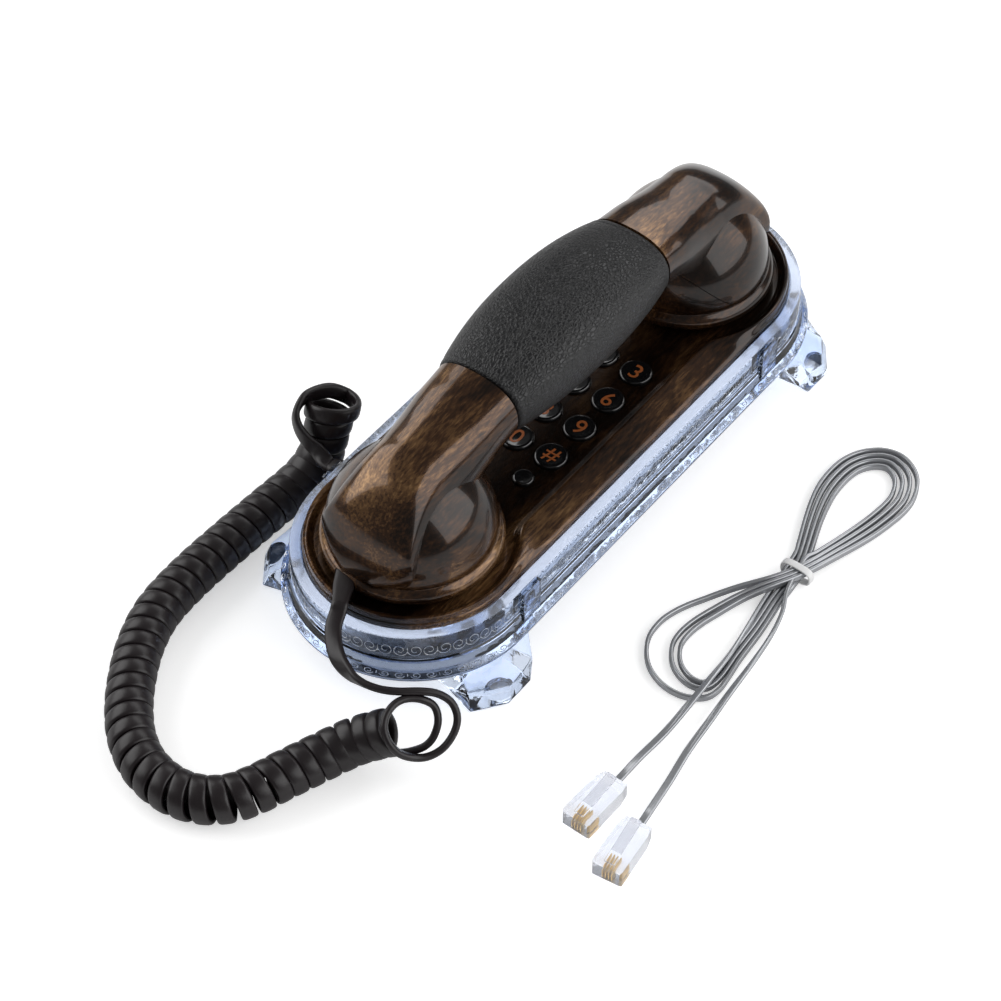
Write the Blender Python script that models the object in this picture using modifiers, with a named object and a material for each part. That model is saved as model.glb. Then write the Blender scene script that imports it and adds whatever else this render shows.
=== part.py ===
"""Slimline wall telephone, lying on its four corner feet with its handset in place.

Frame: X runs across the phone, Y along it with the earpiece at +Y, and Z up.
The origin is on the standing surface, under the middle of the base.
"""

import math

import bmesh
import bpy
import numpy as np
from mathutils import Matrix, Vector

MM = 0.001

# Fits shared by the whole phone
GAP = 0.3 * MM              # clearance between pieces that seat on or in each other
SHELL_T = 2.2 * MM          # moulded wall of covers and handset

# Plan of the base: a stadium, two half circles joined by straight sides
END_Y = 69.5 * MM           # centre of each half circle, from the middle
COVER_R = 33.2 * MM         # half width of the wood-grain cover
RIM_T = 3.5 * MM            # thickness of the clear rim
SKIRT_OUT = 1.4 * MM        # how far the skirt flares below the rim
FLANGE_OUT = 3.2 * MM       # how far the bottom flange stands out of the rim
END_STEPS = 16              # facets round each half circle
SWEEP_STATIONS = (63.5, 58.0, 53.5, 50.0, 47.0, 44.0, 40.5)   # y of the crest's sweep in mm

# Heights of the base
PAD_STAND = 0.8 * MM        # rubber pads stand this far out of the feet
FOOT_H = 9.9 * MM
RIM_H = 16.3 * MM
RIM_WALL_H = 9.5 * MM       # upright part of the rim above the skirt
LEDGE_T = 2.4 * MM          # floor ledge that carries the inner housing
LEDGE_W = 8.5 * MM
TRAY_H = 5.3 * MM           # bottom cover, outside
PANEL_UP = 1.4 * MM         # keypad panel above the rim
CREST_UP = 2.4 * MM         # crest round the panel above the panel
CREST_X = 24.2 * MM         # crest along the straight sides
CREST_END = 0.8 * MM        # crest inside the cover's edge, at the ends
CREST_FILLET = 10.0 * MM    # sweep where the crest turns round the seats
CREST_FALL = 1.8 * MM       # width of the slope from the crest to the panel

# Feet and pads
FOOT_X, FOOT_Y = 41.5 * MM, 82.8 * MM     # pad centre
PAD_R = 3.9 * MM
PAD_SEAT = 1.2 * MM
FOOT_BEVEL = 0.5 * MM

# Keys
KEY_R = 5.1 * MM
KEY_PITCH_X = 13.0 * MM
KEY_PITCH_Y = 14.6 * MM
KEY_TOP_ROW_Y = 24.9 * MM
KEY_UP = 1.0 * MM
KEY_TRAVEL = 1.5 * MM
KEY_FLANGE = 0.6 * MM
KEY_FLANGE_T = 1.2 * MM
SMALL_KEY_R = 3.2 * MM
SMALL_KEY_X, SMALL_KEY_Y = 11.6 * MM, -30.9 * MM

# Inside the base
BOARD_T = 1.6 * MM
BOARD_X = 20.0 * MM
BOARD_Y = 41.5 * MM
BOARD_TONGUE_X, BOARD_TONGUE_Y = 7.5 * MM, 74.0 * MM
POST_H = 0.7 * MM
POST_R = 2.2 * MM
MAT_T = 1.5 * MM
MAT_MARGIN = 6.0 * MM
NUB_R = 2.4 * MM
HOOK_Y = 61.5 * MM
HOOK_X_SIZE, HOOK_Y_SIZE = 4.6 * MM, 8.6 * MM
HOOK_TRAVEL = 3.0 * MM
HOOK_FLANGE = 1.8 * MM
HOOK_FLANGE_T = 1.3 * MM
LEAF_T = 0.4 * MM
RINGER_R = 13.5 * MM
RINGER_T = 2.2 * MM
BASE_SCREW_X, BASE_SCREW_Y = 17.0 * MM, 49.0 * MM
BOSS_R = 3.2 * MM
SCREW_R = 1.1 * MM
SCREW_HEAD_R = 2.6 * MM
SCREW_HEAD_T = 1.3 * MM
SCREW_L = 8.5 * MM
KEYHOLE_Y = 30.0 * MM       # wall hooks, either side of the middle
KEYHOLE_R = 4.5 * MM
KEYHOLE_SLOT_R = 2.2 * MM
KEYHOLE_L = 9.0 * MM

# Modular line jack and plugs
SOCKET_X, SOCKET_Z, SOCKET_L = 10.0 * MM, 7.0 * MM, 11.5 * MM
JACK_WALL = 1.2 * MM
PLUG_X, PLUG_Z, PLUG_L = 9.65 * MM, 6.6 * MM, 19.5 * MM

# Handset
DOME_Y = END_Y + 0.5 * MM   # axis of both cups
CUP_R = 27.7 * MM
CUP_H = 7.5 * MM            # from the cup's face to the seam
CUP_FACE_R = CUP_R - 3.9 * MM
SEAM_R = CUP_R - 1.8 * MM
CHEEK_H = 26.5 * MM
HOOD_H = 32.3 * MM          # crown of the handset over the cup axis, above the seam
HOOD_X = 14.6 * MM
HOOD_FRONT_X = 10.6 * MM
HOOD_FRONT_OUT = 0.4 * MM
HOOD_POWER = 1.8
GRIP_HALF = 37.6 * MM
GRIP_X = 19.8 * MM
GRIP_END_X = 15.3 * MM
GRIP_TOP, GRIP_END_TOP = 42.0 * MM, 37.1 * MM            # above the seam
GRIP_BOTTOM, GRIP_END_BOTTOM = 14.6 * MM, 15.8 * MM      # above the seam
GRIP_T = 2.5 * MM           # padded sleeve
GRIP_ROLL = 0.9 * MM
SECTION_POWER = 2.4
SECTION_STEPS = 22
HOLLOW_STEPS = 14
CAP_R = 14.7 * MM
CAP_LIP = 2.6 * MM
CAP_LIP_T = 1.1 * MM
CAPSULE_R, CAPSULE_T = 16.0 * MM, 6.0 * MM
MIC_R, MIC_T = 8.0 * MM, 5.0 * MM
WEIGHT_X, WEIGHT_Y, WEIGHT_Z = 14.0 * MM, 44.0 * MM, 9.0 * MM
HANDSET_SCREW_Y, HANDSET_SCREW_L = 44.5 * MM, 10.0 * MM
RELIEF_NECK_X, RELIEF_NECK_Z = 6.2 * MM, 2.8 * MM
RELIEF_COLLAR = 9.0 * MM    # from the cup's outside back to the collar
RELIEF_OUT = 7.0 * MM       # from the cup's outside to the relief's tip
RELIEF_Y = -57.0 * MM       # where the cord enters the side of the base

# Curly cord: flat cord wound at this radius, laid out as the photograph shows it
COIL_R = 5.2 * MM
COIL_TUBE_R = 2.1 * MM
COIL_PITCH = 4.95 * MM
COIL_POINTS = 9             # points on each curl
COIL_STEPS = 387            # points along the whole coil
TAIL_R = 1.6 * MM
COIL_FIRST_SIDE = (-0.98, 0.22, 0.0)
COIL_AXIS = (
    (-54.2, -42.0, 30.6), (-52.4, -44.5, 25.0), (-51.0, -47.4, 19.4), (-50.8, -51.0, 14.2),
    (-51.9, -56.4, 9.9), (-53.2, -63.4, 7.8), (-54.3, -72.0, 7.5), (-55.2, -90.0, 7.5), (-55.6, -109.0, 7.5),
    (-54.3, -124.5, 7.5), (-50.0, -137.2, 7.5), (-43.5, -148.5, 7.5), (-36.6, -157.6, 7.5),
    (-28.8, -165.0, 7.5), (-19.2, -170.2, 7.5), (-8.4, -171.8, 7.5), (0.9, -169.4, 7.5),
    (7.6, -163.8, 7.5), (11.6, -156.4, 7.5), (15.2, -147.2, 7.5), (19.0, -136.4, 7.5),
    (22.6, -127.2, 7.5), (26.6, -118.8, 7.5), (28.6, -114.6, 7.5),
)
BASE_TAIL = (
    (-48.6, -57.0, 21.6), (-54.0, -56.2, 23.2), (-59.2, -54.2, 25.8), (-61.9, -50.8, 29.6),
)
# End curls that have come loose: centres and sizes in mm, the way they face, and their turning
FALL_CENTRES = ((34.4, -113.7, 10.6), (36.0, -116.2, 13.8), (38.4, -117.9, 17.3), (39.9, -116.3, 17.7))
FALL_SIZES = (8.0, 8.2, 9.0, 10.2)
FALL_DIRECTION = (0.40, -0.52, 0.75)
FALL_FROM, FALL_TO = -50, 454
HANDSET_TAIL = (
    (2.6, -109.4, 32.0), (4.0, -112.2, 27.4), (5.6, -113.9, 22.0), (7.2, -114.6, 18.8), (9.6, -115.0, 16.6),
    (12.8, -115.0, 15.3), (17.0, -114.2, 15.2), (21.6, -113.2, 16.4), (26.0, -112.0, 18.8), (30.0, -110.6, 21.6),
)

# Line cord: a hank of figure-of-eight loops held by a tie
LINE_R = 1.3 * MM
LINE_STEP = 3.05 * MM       # from one strand to the next
LINE_START, LINE_END = -0.25, 3.62    # loops, counted from the first upward pass of the tie
LINE_POINTS = 24            # points on each loop
LINE_LIFT = 3.2 * MM        # upper strands over the lower ones at the tie
TIE_X, TIE_Y = 85.6 * MM, 9.0 * MM
TIE_T, TIE_W = 0.8 * MM, 2.4 * MM
TIE_HALF, TIE_OFF = 7.3 * MM, 0.8 * MM
EIGHT_HALF, EIGHT_TAPER, EIGHT_BLUNT = 8.7, 0.8, 0.8  # half width of a lobe and its shape, in mm
EIGHT_FAR = (52.5, -0.5)    # reach and sideways lean of the far lobe, in mm
EIGHT_NEAR = (51.0, -5.0)   # reach and sideways lean of the near lobe, in mm
LINE_TAIL_A = (
    (87.4, -37.4, 8.1), (90.0, -40.2, 7.6), (91.0, -43.8, 6.9), (91.0, -48.0, 6.0), (90.7, -53.0, 4.6),
    (90.4, -60.0, 3.0), (90.0, -68.0, 2.1), (89.8, -76.0, 2.6),
)
LINE_TAIL_B = (
    (97.0, -36.0, 3.4), (96.7, -46.0, 2.2), (97.6, -58.0, 1.7), (99.6, -70.0, 1.8), (101.6, -80.0, 2.4),
)
PLUG_A = ((89.8, -89.5, 3.4), -91.0)  # cord end of the plug in mm, heading in degrees
PLUG_B = ((104.2, -98.0, 3.4), -83.0)

# Heights that follow from the sizes above
CRADLE_Z = PAD_STAND + FOOT_H + GAP
RIM_Z = CRADLE_Z + RIM_H
RIM_R = COVER_R + GAP + RIM_T
LEDGE_Z = CRADLE_Z + LEDGE_T
TRAY_Z = LEDGE_Z + GAP
TRAY_FLOOR_Z = TRAY_Z + SHELL_T
TRAY_TOP_Z = TRAY_Z + TRAY_H
COVER_Z = TRAY_TOP_Z + GAP
PANEL_Z = RIM_Z + PANEL_UP
PANEL_LOW_Z = PANEL_Z - SHELL_T
CREST_Z = PANEL_Z + CREST_UP
BOARD_Z = TRAY_FLOOR_Z + POST_H + GAP
BOARD_TOP_Z = BOARD_Z + BOARD_T
MAT_Z = BOARD_TOP_Z + GAP
KEY_FLANGE_Z = PANEL_LOW_Z - GAP - KEY_FLANGE_T
CUP_Z = PANEL_Z + GAP
SEAM_Z = CUP_Z + CUP_H
HOOK_TOP_Z = CUP_Z - GAP
HOOK_FLANGE_Z = PANEL_LOW_Z - GAP - HOOK_TRAVEL - HOOK_FLANGE_T
BOSS_Z = TRAY_FLOOR_Z + GAP
JACK_Z = TRAY_FLOOR_Z + GAP
JACK_Y = END_Y + RIM_R - GAP
RELIEF_Z = CREST_Z + 2.1 * MM         # handset relief clears the crest
RELIEF_IN_Z = COVER_Z + 1.9 * MM
RELIEF_TIP_X = -(RIM_R + 5.2 * MM)
SCREW_FLOOR_Z = SEAM_Z + 17.5 * MM
SCREW_HEAD_Z = SCREW_FLOOR_Z - SHELL_T - 0.4 * MM


# ---------------------------------------------------------------- scene and materials

def clear_scene():
    """Remove every object of the scene that the script starts in."""
    for item in list(bpy.data.objects):
        bpy.data.objects.remove(item, do_unlink=True)


def new_collection(name):
    """A collection linked to the scene."""
    collection = bpy.data.collections.new(name)
    bpy.context.scene.collection.children.link(collection)
    return collection


def linear(hex_colour):
    """An sRGB hex colour as linear red, green, blue and alpha."""
    values = [int(hex_colour[i:i + 2], 16) / 255 for i in (0, 2, 4)]
    return [v / 12.92 if v <= 0.04045 else ((v + 0.055) / 1.055) ** 2.4 for v in values] + [1.0]


def material(name, hex_colour, roughness, metallic=0.0, clear=0.0):
    """A Principled material with the part's colour, roughness and metallic value."""
    made = bpy.data.materials.new(name)
    made.use_nodes = True
    made.diffuse_color = linear(hex_colour)
    shader = made.node_tree.nodes["Principled BSDF"]
    shader.inputs["Base Color"].default_value = linear(hex_colour)
    shader.inputs["Roughness"].default_value = roughness
    shader.inputs["Metallic"].default_value = metallic
    shader.inputs["Transmission Weight"].default_value = clear
    return made


# ---------------------------------------------------------------- modelling tools

def place(name, mesh, finish):
    """Link a mesh as a named part, or as a hidden cutter when it has no finish."""
    item = bpy.data.objects.new(name, mesh)
    if finish is None:
        CUTTERS.objects.link(item)
        item.hide_render = True
        item.display_type = "WIRE"
    else:
        PARTS.objects.link(item)
        mesh.materials.clear()
        mesh.materials.append(finish)
    return item


def from_bmesh(name, shape, finish, smooth=True):
    """Turn a bmesh into an object with outward faces."""
    bmesh.ops.recalc_face_normals(shape, faces=shape.faces)
    mesh = bpy.data.meshes.new(name)
    shape.to_mesh(mesh)
    shape.free()
    if smooth:
        mesh.shade_smooth()
        mesh.set_sharp_from_angle(angle=math.radians(35))
    return place(name, mesh, finish)


def box(name, low, high, finish=None):
    """A block between two corners."""
    shape = bmesh.new()
    middle = (Vector(low) + Vector(high)) / 2
    size = Vector(high) - Vector(low)
    bmesh.ops.create_cube(shape, size=1.0, matrix=Matrix.Translation(middle) @ Matrix.Diagonal((*size, 1.0)))
    return from_bmesh(name, shape, finish, smooth=False)


def cylinders(name, places, radius, low, high, steps=16, finish=None):
    """Upright cylinders of one size, at several places in plan."""
    shape = bmesh.new()
    for x, y in places:
        at = Matrix.Translation((x, y, (low + high) / 2))
        bmesh.ops.create_cone(
            shape, cap_ends=True, segments=steps, radius1=radius, radius2=radius, depth=high - low, matrix=at
        )
    return from_bmesh(name, shape, finish)


def turned(name, profile, at, steps, finish):
    """A solid turned about the upright axis at a place, from a profile run top to bottom."""
    mesh = bpy.data.meshes.new(name)
    mesh.from_pydata([(radius, 0.0, height) for radius, height in profile],
                     [(i, i + 1) for i in range(len(profile) - 1)], [])
    item = place(name, mesh, finish)
    item.location = at
    screw = item.modifiers.new("Turn", "SCREW")
    screw.axis = "Z"
    screw.steps = steps
    screw.render_steps = steps
    screw.use_merge_vertices = True
    screw.merge_threshold = 0.00002
    return item


def loft(name, rings, finish=None, smooth=True):
    """A closed solid through rings of equally many points, capped at both ends."""
    shape = bmesh.new()
    rows = [[shape.verts.new(point) for point in ring] for ring in rings]
    count = len(rows[0])
    for near, far in zip(rows, rows[1:]):
        for i in range(count):
            shape.faces.new((near[i], near[(i + 1) % count], far[(i + 1) % count], far[i]))
    shape.faces.new(rows[0])
    shape.faces.new(rows[-1])
    return from_bmesh(name, shape, finish, smooth)


def slab(name, outline, low, high, finish=None):
    """A flat outline given thickness, from a filled 2D curve turned into a mesh."""
    curve = bpy.data.curves.new(name + "_outline", "CURVE")
    curve.dimensions = "2D"
    curve.fill_mode = "BOTH"
    curve.extrude = (high - low) / 2
    spline = curve.splines.new("POLY")
    spline.points.add(len(outline) - 1)
    for point, (x, y) in zip(spline.points, outline):
        point.co = (x, y, 0.0, 1.0)
    spline.use_cyclic_u = True
    return curve_to_mesh(name, curve, finish, lift=(low + high) / 2)


def curve_to_mesh(name, curve, finish, lift=0.0):
    """Evaluate a curve, weld its caps to its sides and keep it as a mesh."""
    guide = bpy.data.objects.new(name + "_curve", curve)
    guide.location = (0.0, 0.0, lift)
    CUTTERS.objects.link(guide)
    bpy.context.view_layer.update()
    evaluated = guide.evaluated_get(bpy.context.evaluated_depsgraph_get())
    mesh = bpy.data.meshes.new_from_object(evaluated)
    mesh.transform(guide.matrix_world)
    shape = bmesh.new()
    shape.from_mesh(mesh)
    bmesh.ops.remove_doubles(shape, verts=shape.verts, dist=0.000002)
    bpy.data.objects.remove(guide, do_unlink=True)
    return from_bmesh(name, shape, finish)


def tube(name, points, radius, finish, resolution):
    """A cord: a poly spline with a round bevel and filled caps."""
    curve = bpy.data.curves.new(name, "CURVE")
    curve.dimensions = "3D"
    curve.bevel_depth = radius
    curve.bevel_resolution = resolution
    curve.use_fill_caps = True
    spline = curve.splines.new("POLY")
    spline.points.add(len(points) - 1)
    spline.points.foreach_set("co", np.c_[points, np.ones(len(points))].ravel())
    item = bpy.data.objects.new(name, curve)
    PARTS.objects.link(item)
    curve.materials.append(finish)
    return item


def combine(item, operation, *others, nested=False):
    """Cut, join or intersect an object with hidden operands; nested ones lie wholly inside it."""
    for other in others:
        step = item.modifiers.new(operation.title(), "BOOLEAN")
        step.operation = operation
        step.solver = "EXACT"
        step.use_self = nested
        step.object = other
    return item


def round_edges(item, width, segments=2, angle=30):
    """Round the edges sharper than an angle."""
    bevel = item.modifiers.new("Round", "BEVEL")
    bevel.width = width
    bevel.segments = segments
    bevel.limit_method = "ANGLE"
    bevel.angle_limit = math.radians(angle)
    return item


# ---------------------------------------------------------------- outlines and paths

def stadium(radius, z, half_width=None, plain=True, end_y=END_Y):
    """A ring round the base: half circles of a radius, and sides whose half width may vary with y."""
    wide = half_width or (lambda y: radius)
    sweep = [] if plain else [place * MM for place in SWEEP_STATIONS]
    sides = [-end_y] + [-y for y in sweep] + sweep[::-1] + [end_y]
    angles = np.linspace(0.0, math.pi, END_STEPS + 1)[1:-1]
    right = [(wide(y), y, z) for y in sides]
    far = [(radius * math.cos(a), end_y + radius * math.sin(a), z) for a in angles]
    left = [(-wide(y), y, z) for y in reversed(sides)]
    near = [(-radius * math.cos(a), -end_y - radius * math.sin(a), z) for a in angles]
    return right + far + left + near


def crest_ring(inset, z):
    """The crest's ring: narrow along the keypad, swept out to circles round the two seats."""
    waist = CREST_X - inset
    circle = COVER_R - CREST_END - inset
    sweep = CREST_FILLET
    reach = math.sqrt((circle + sweep) ** 2 - (waist + sweep) ** 2)
    meet = reach * circle / (circle + sweep)

    def half_width(y):
        from_end = END_Y - abs(y)
        if from_end <= meet:
            return math.sqrt(circle ** 2 - from_end ** 2)
        if from_end >= reach:
            return waist
        return waist + sweep - math.sqrt(sweep ** 2 - (reach - from_end) ** 2)

    return stadium(circle, z, half_width, plain=False)


def smooth_path(points, step):
    """A smooth curve through a route's points, sampled at about equal steps."""
    route = np.array(points, float)
    ends = np.vstack([2 * route[0] - route[1], route, 2 * route[-1] - route[-2]])
    samples = []
    for a, b, c, d in zip(ends, ends[1:], ends[2:], ends[3:]):
        for t in np.linspace(0.0, 1.0, 24, endpoint=False):
            samples.append(0.5 * (2 * b + (c - a) * t + (2 * a - 5 * b + 4 * c - d) * t ** 2
                                  + (3 * b - 3 * c + d - a) * t ** 3))
    samples.append(route[-1])
    samples = np.array(samples)
    along = np.concatenate([[0.0], np.cumsum(np.linalg.norm(np.diff(samples, axis=0), axis=1))])
    wanted = np.linspace(0.0, along[-1], max(2, int(round(along[-1] / step))) + 1)
    return np.stack([np.interp(wanted, along, samples[:, k]) for k in range(3)], axis=1)


def unit(vector):
    """A vector of length one."""
    return vector / np.linalg.norm(vector)


def frames_along(axis, first_side):
    """Unit tangents and side vectors of a path, carried along without twist."""
    tangents = np.gradient(axis, axis=0)
    tangents /= np.linalg.norm(tangents, axis=1)[:, None]
    side = np.array(first_side, float)
    sides = []
    for direction in tangents:
        side = unit(side - direction * np.dot(side, direction))
        sides.append(side)
    return tangents, np.array(sides)


def rows_at(rows, places):
    """Rows of a table read between its lines."""
    index = np.arange(len(rows))
    return np.stack([np.interp(places, index, rows[:, k]) for k in range(3)], axis=1)


def helix(axis_points, radius, pitch, per_turn, first_side):
    """A right-handed helix round a curved axis; its pitch opens in a bend so the inside stays clear."""
    step = 0.25 * MM
    axis = smooth_path(axis_points, step)
    tangents, sides = frames_along(axis, first_side)
    bend = np.linalg.norm(np.gradient(tangents, axis=0), axis=1) / step
    bend = np.convolve(np.pad(bend, 20, mode="edge"), np.ones(41) / 41, mode="valid")
    turn_length = pitch / (1.0 - np.clip(radius * bend, 0.0, 0.75))
    angle = np.concatenate([[0.0], np.cumsum(2 * math.pi * step / turn_length[1:])])
    wanted = np.arange(int(angle[-1] / (2 * math.pi) * per_turn) + 1) * 2 * math.pi / per_turn
    at = np.interp(wanted, angle, np.arange(len(angle)))
    side = rows_at(sides, at)
    other = np.cross(rows_at(tangents, at), side)
    points = rows_at(axis, at) + radius * (np.cos(wanted)[:, None] * side + np.sin(wanted)[:, None] * other)
    return points


def fallen_curls():
    """The loose end curls as points, from the coil outwards: a growing helix that faces the fall direction."""
    facing = unit(np.array(FALL_DIRECTION))
    across = unit(np.cross((0.0, 0.0, 1.0), facing))
    up = np.cross(facing, across)
    points = []
    for angle in range(FALL_FROM, FALL_TO + 1, 36):
        share = (angle - FALL_FROM) / (FALL_TO - FALL_FROM) * (len(FALL_CENTRES) - 1)
        stops = range(len(FALL_CENTRES))
        centre = np.array([np.interp(share, stops, [c[k] for c in FALL_CENTRES]) for k in range(3)])
        size = np.interp(share, stops, FALL_SIZES)
        turn = math.radians(angle)
        points.append((centre + size * (math.cos(turn) * across + math.sin(turn) * up)) * MM)
    return points


def led_path(start, start_way, route, end, end_way, lead, step):
    """A smooth path whose ends run straight for a lead, away from what they meet."""
    first, last = start + start_way * lead, end + end_way * lead
    bend = smooth_path([first, *route, last], step)
    gap_first = np.linalg.norm(bend - first, axis=1)
    gap_last = np.linalg.norm(bend - last, axis=1)
    between = bend[(gap_first > 0.6 * step) & (gap_last > 0.6 * step)]
    return np.vstack([start, first, between, last, end])


def least_gap(points, radius, apart):
    """The least distance between two stretches of one tube, less its diameter."""
    least = math.inf
    for i in range(len(points) - apart):
        least = min(least, np.linalg.norm(points[i + apart:] - points[i], axis=1).min())
    return least - 2 * radius


# ---------------------------------------------------------------- base

def clear_cradle():
    """The clear moulding: rim, flared skirt and flange, floor ledge, and windows for jack and cord."""
    flange = RIM_R + FLANGE_OUT
    wall_foot = RIM_Z - RIM_WALL_H
    rings = [
        stadium(flange - 0.4 * MM, CRADLE_Z),
        stadium(flange, CRADLE_Z + 0.4 * MM),
        stadium(flange, CRADLE_Z + 1.4 * MM),
        stadium(RIM_R + SKIRT_OUT, CRADLE_Z + 2.7 * MM),
        stadium(RIM_R + 0.5 * MM, wall_foot - 0.4 * MM),
        stadium(RIM_R, wall_foot),
        stadium(RIM_R, RIM_Z - 0.3 * MM),
        stadium(RIM_R - 0.3 * MM, RIM_Z),
    ]
    cradle = loft("clear_cradle", rings, CLEAR_BLUE)
    cavity = loft("cradle_cavity", [stadium(COVER_R + GAP, LEDGE_Z), stadium(COVER_R + GAP, RIM_Z + 5 * MM)])
    opening = loft("cradle_opening", [stadium(COVER_R - LEDGE_W, CRADLE_Z - MM),
                                      stadium(COVER_R - LEDGE_W, LEDGE_Z + MM)])
    combine(cradle, "DIFFERENCE", cavity, opening, JACK_WINDOW, CORD_WINDOW)


def corner_foot(name, side, end):
    """A splayed clear foot under one corner of the flange, with a seat for its pad."""
    low = [(5.5, 9.3), (5.5, -1.7), (-1.5, -11.2), (-11.5, -8.2), (-11.0, -1.0), (-7.0, 8.5)]
    middle = [(3.3, 13.2), (4.4, 0.8), (-3.2, -10.0), (-12.6, -10.4), (-13.2, -3.0), (-9.0, 10.5)]
    high = [(-2.3, 18.4), (-2.2, 5.0), (-7.0, -7.0), (-14.6, -13.4), (-17.0, -5.0), (-12.5, 12.5)]
    levels = ((PAD_STAND, low), (PAD_STAND + FOOT_H * 0.5, middle), (PAD_STAND + FOOT_H, high))
    rings = [[(side * (FOOT_X + x * MM), end * (FOOT_Y - y * MM), z) for x, y in ring] for z, ring in levels]
    foot = loft(name, rings, CLEAR_BLUE, smooth=False)
    round_edges(foot, FOOT_BEVEL, segments=1)
    seat = cylinders(name + "_seat", [(side * FOOT_X, end * FOOT_Y)], PAD_R + GAP,
                     PAD_STAND - MM, PAD_STAND + PAD_SEAT)
    combine(foot, "DIFFERENCE", seat)


def feet_and_pads():
    """Four feet and their rubber pads, named by the end and side they stand under."""
    for end_name, end in (("ear", 1), ("mouth", -1)):
        for side_name, side in (("right", 1), ("left", -1)):
            corner_foot(f"foot_{end_name}_{side_name}", side, end)
            cylinders(f"foot_pad_{end_name}_{side_name}", [(side * FOOT_X, end * FOOT_Y)], PAD_R,
                      0.0, PAD_STAND + PAD_SEAT - GAP, finish=RUBBER)


def bottom_cover():
    """The tray under the electronics, with board posts, screw holes and two wall keyholes."""
    tray = loft("bottom_cover", [stadium(COVER_R, TRAY_Z), stadium(COVER_R, TRAY_TOP_Z)], DARK_PLASTIC)
    inner = COVER_R - SHELL_T
    hollow = loft("tray_hollow", [stadium(inner, TRAY_FLOOR_Z), stadium(inner, TRAY_TOP_Z + MM)])
    corners = [(x, y) for x in (-BOARD_X + 2 * POST_R, BOARD_X - 2 * POST_R)
               for y in (-BOARD_Y + POST_R + MM, BOARD_Y - POST_R - MM)]
    posts = cylinders("tray_posts", corners, POST_R, TRAY_FLOOR_Z - MM, TRAY_FLOOR_Z + POST_H, steps=12)
    holes = cylinders("tray_screw_holes", base_screw_places(), SCREW_R + 2 * GAP,
                      TRAY_Z - MM, TRAY_FLOOR_Z + MM, steps=12)
    bores = cylinders("tray_head_seats", base_screw_places(), SCREW_HEAD_R + GAP,
                      TRAY_Z - MM, TRAY_Z + SCREW_HEAD_T, steps=12)
    rounds = cylinders("keyhole_rounds", [(0.0, -KEYHOLE_Y), (0.0, KEYHOLE_Y)], KEYHOLE_R,
                       TRAY_Z - MM, TRAY_FLOOR_Z + MM)
    slots = [box(f"keyhole_slot_{i}", (-KEYHOLE_SLOT_R, y, TRAY_Z - MM),
                 (KEYHOLE_SLOT_R, y + KEYHOLE_L, TRAY_FLOOR_Z + MM)) for i, y in enumerate((-KEYHOLE_Y, KEYHOLE_Y))]
    combine(tray, "DIFFERENCE", hollow)
    combine(tray, "UNION", posts)
    combine(tray, "DIFFERENCE", holes, bores, rounds, *slots, JACK_WINDOW)


def base_screw_places():
    """Plan positions of the four screws that close the inner housing."""
    return [(x, y) for x in (-BASE_SCREW_X, BASE_SCREW_X) for y in (-BASE_SCREW_Y, BASE_SCREW_Y)]


def key_places():
    """Name, x and y of the twelve number keys."""
    names = (("1", "2", "3"), ("4", "5", "6"), ("7", "8", "9"), ("star", "0", "hash"))
    return [(names[row][column], (column - 1) * KEY_PITCH_X, KEY_TOP_ROW_Y - row * KEY_PITCH_Y)
            for row in range(4) for column in range(3)]


def small_key_places():
    """Name, x and y of the redial key and the matching function key."""
    return [("redial", SMALL_KEY_X, SMALL_KEY_Y), ("flash", -SMALL_KEY_X, SMALL_KEY_Y)]


def top_cover():
    """The wood-grain cover: sloping shoulders, a swept crest, and a sunk panel with seats and key holes."""
    edge = COVER_R - 0.3 * MM
    rings = [
        stadium(COVER_R, COVER_Z, plain=False),
        stadium(COVER_R, PANEL_Z - 0.2 * MM, plain=False),
        stadium(edge, PANEL_Z + 0.3 * MM, plain=False),
        crest_ring(-0.5 * MM, CREST_Z - 0.2 * MM),
        crest_ring(0.2 * MM, CREST_Z),
        crest_ring(0.9 * MM, CREST_Z - 0.3 * MM),
        crest_ring(CREST_FALL + 0.9 * MM, PANEL_Z),
    ]
    cover = loft("top_cover", rings, WOOD)
    inner = COVER_R - SHELL_T
    hollow = loft("cover_hollow", [stadium(inner, COVER_Z - MM), stadium(inner, PANEL_LOW_Z)])
    bosses = cylinders("cover_bosses", base_screw_places(), BOSS_R, BOSS_Z, PANEL_LOW_Z + MM, steps=14)
    pilots = cylinders("cover_pilots", base_screw_places(), SCREW_R + GAP, BOSS_Z - MM,
                       TRAY_Z + SCREW_L + 2 * GAP, steps=12)
    low, high = PANEL_LOW_Z - MM, PANEL_Z + MM
    holes = cylinders("cover_key_holes", [(x, y) for _, x, y in key_places()], KEY_R + GAP, low, high, steps=14)
    small = cylinders("cover_small_holes", [(x, y) for _, x, y in small_key_places()], SMALL_KEY_R + GAP,
                      low, high, steps=12)
    half_x, half_y = HOOK_X_SIZE / 2 + GAP, HOOK_Y_SIZE / 2 + GAP
    hook = box("cover_hook_slot", (-half_x, HOOK_Y - half_y, low), (half_x, HOOK_Y + half_y, high))
    combine(cover, "DIFFERENCE", hollow)
    combine(cover, "UNION", bosses)
    combine(cover, "DIFFERENCE", pilots, holes, small, hook, JACK_WINDOW, CORD_NOTCH)


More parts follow.
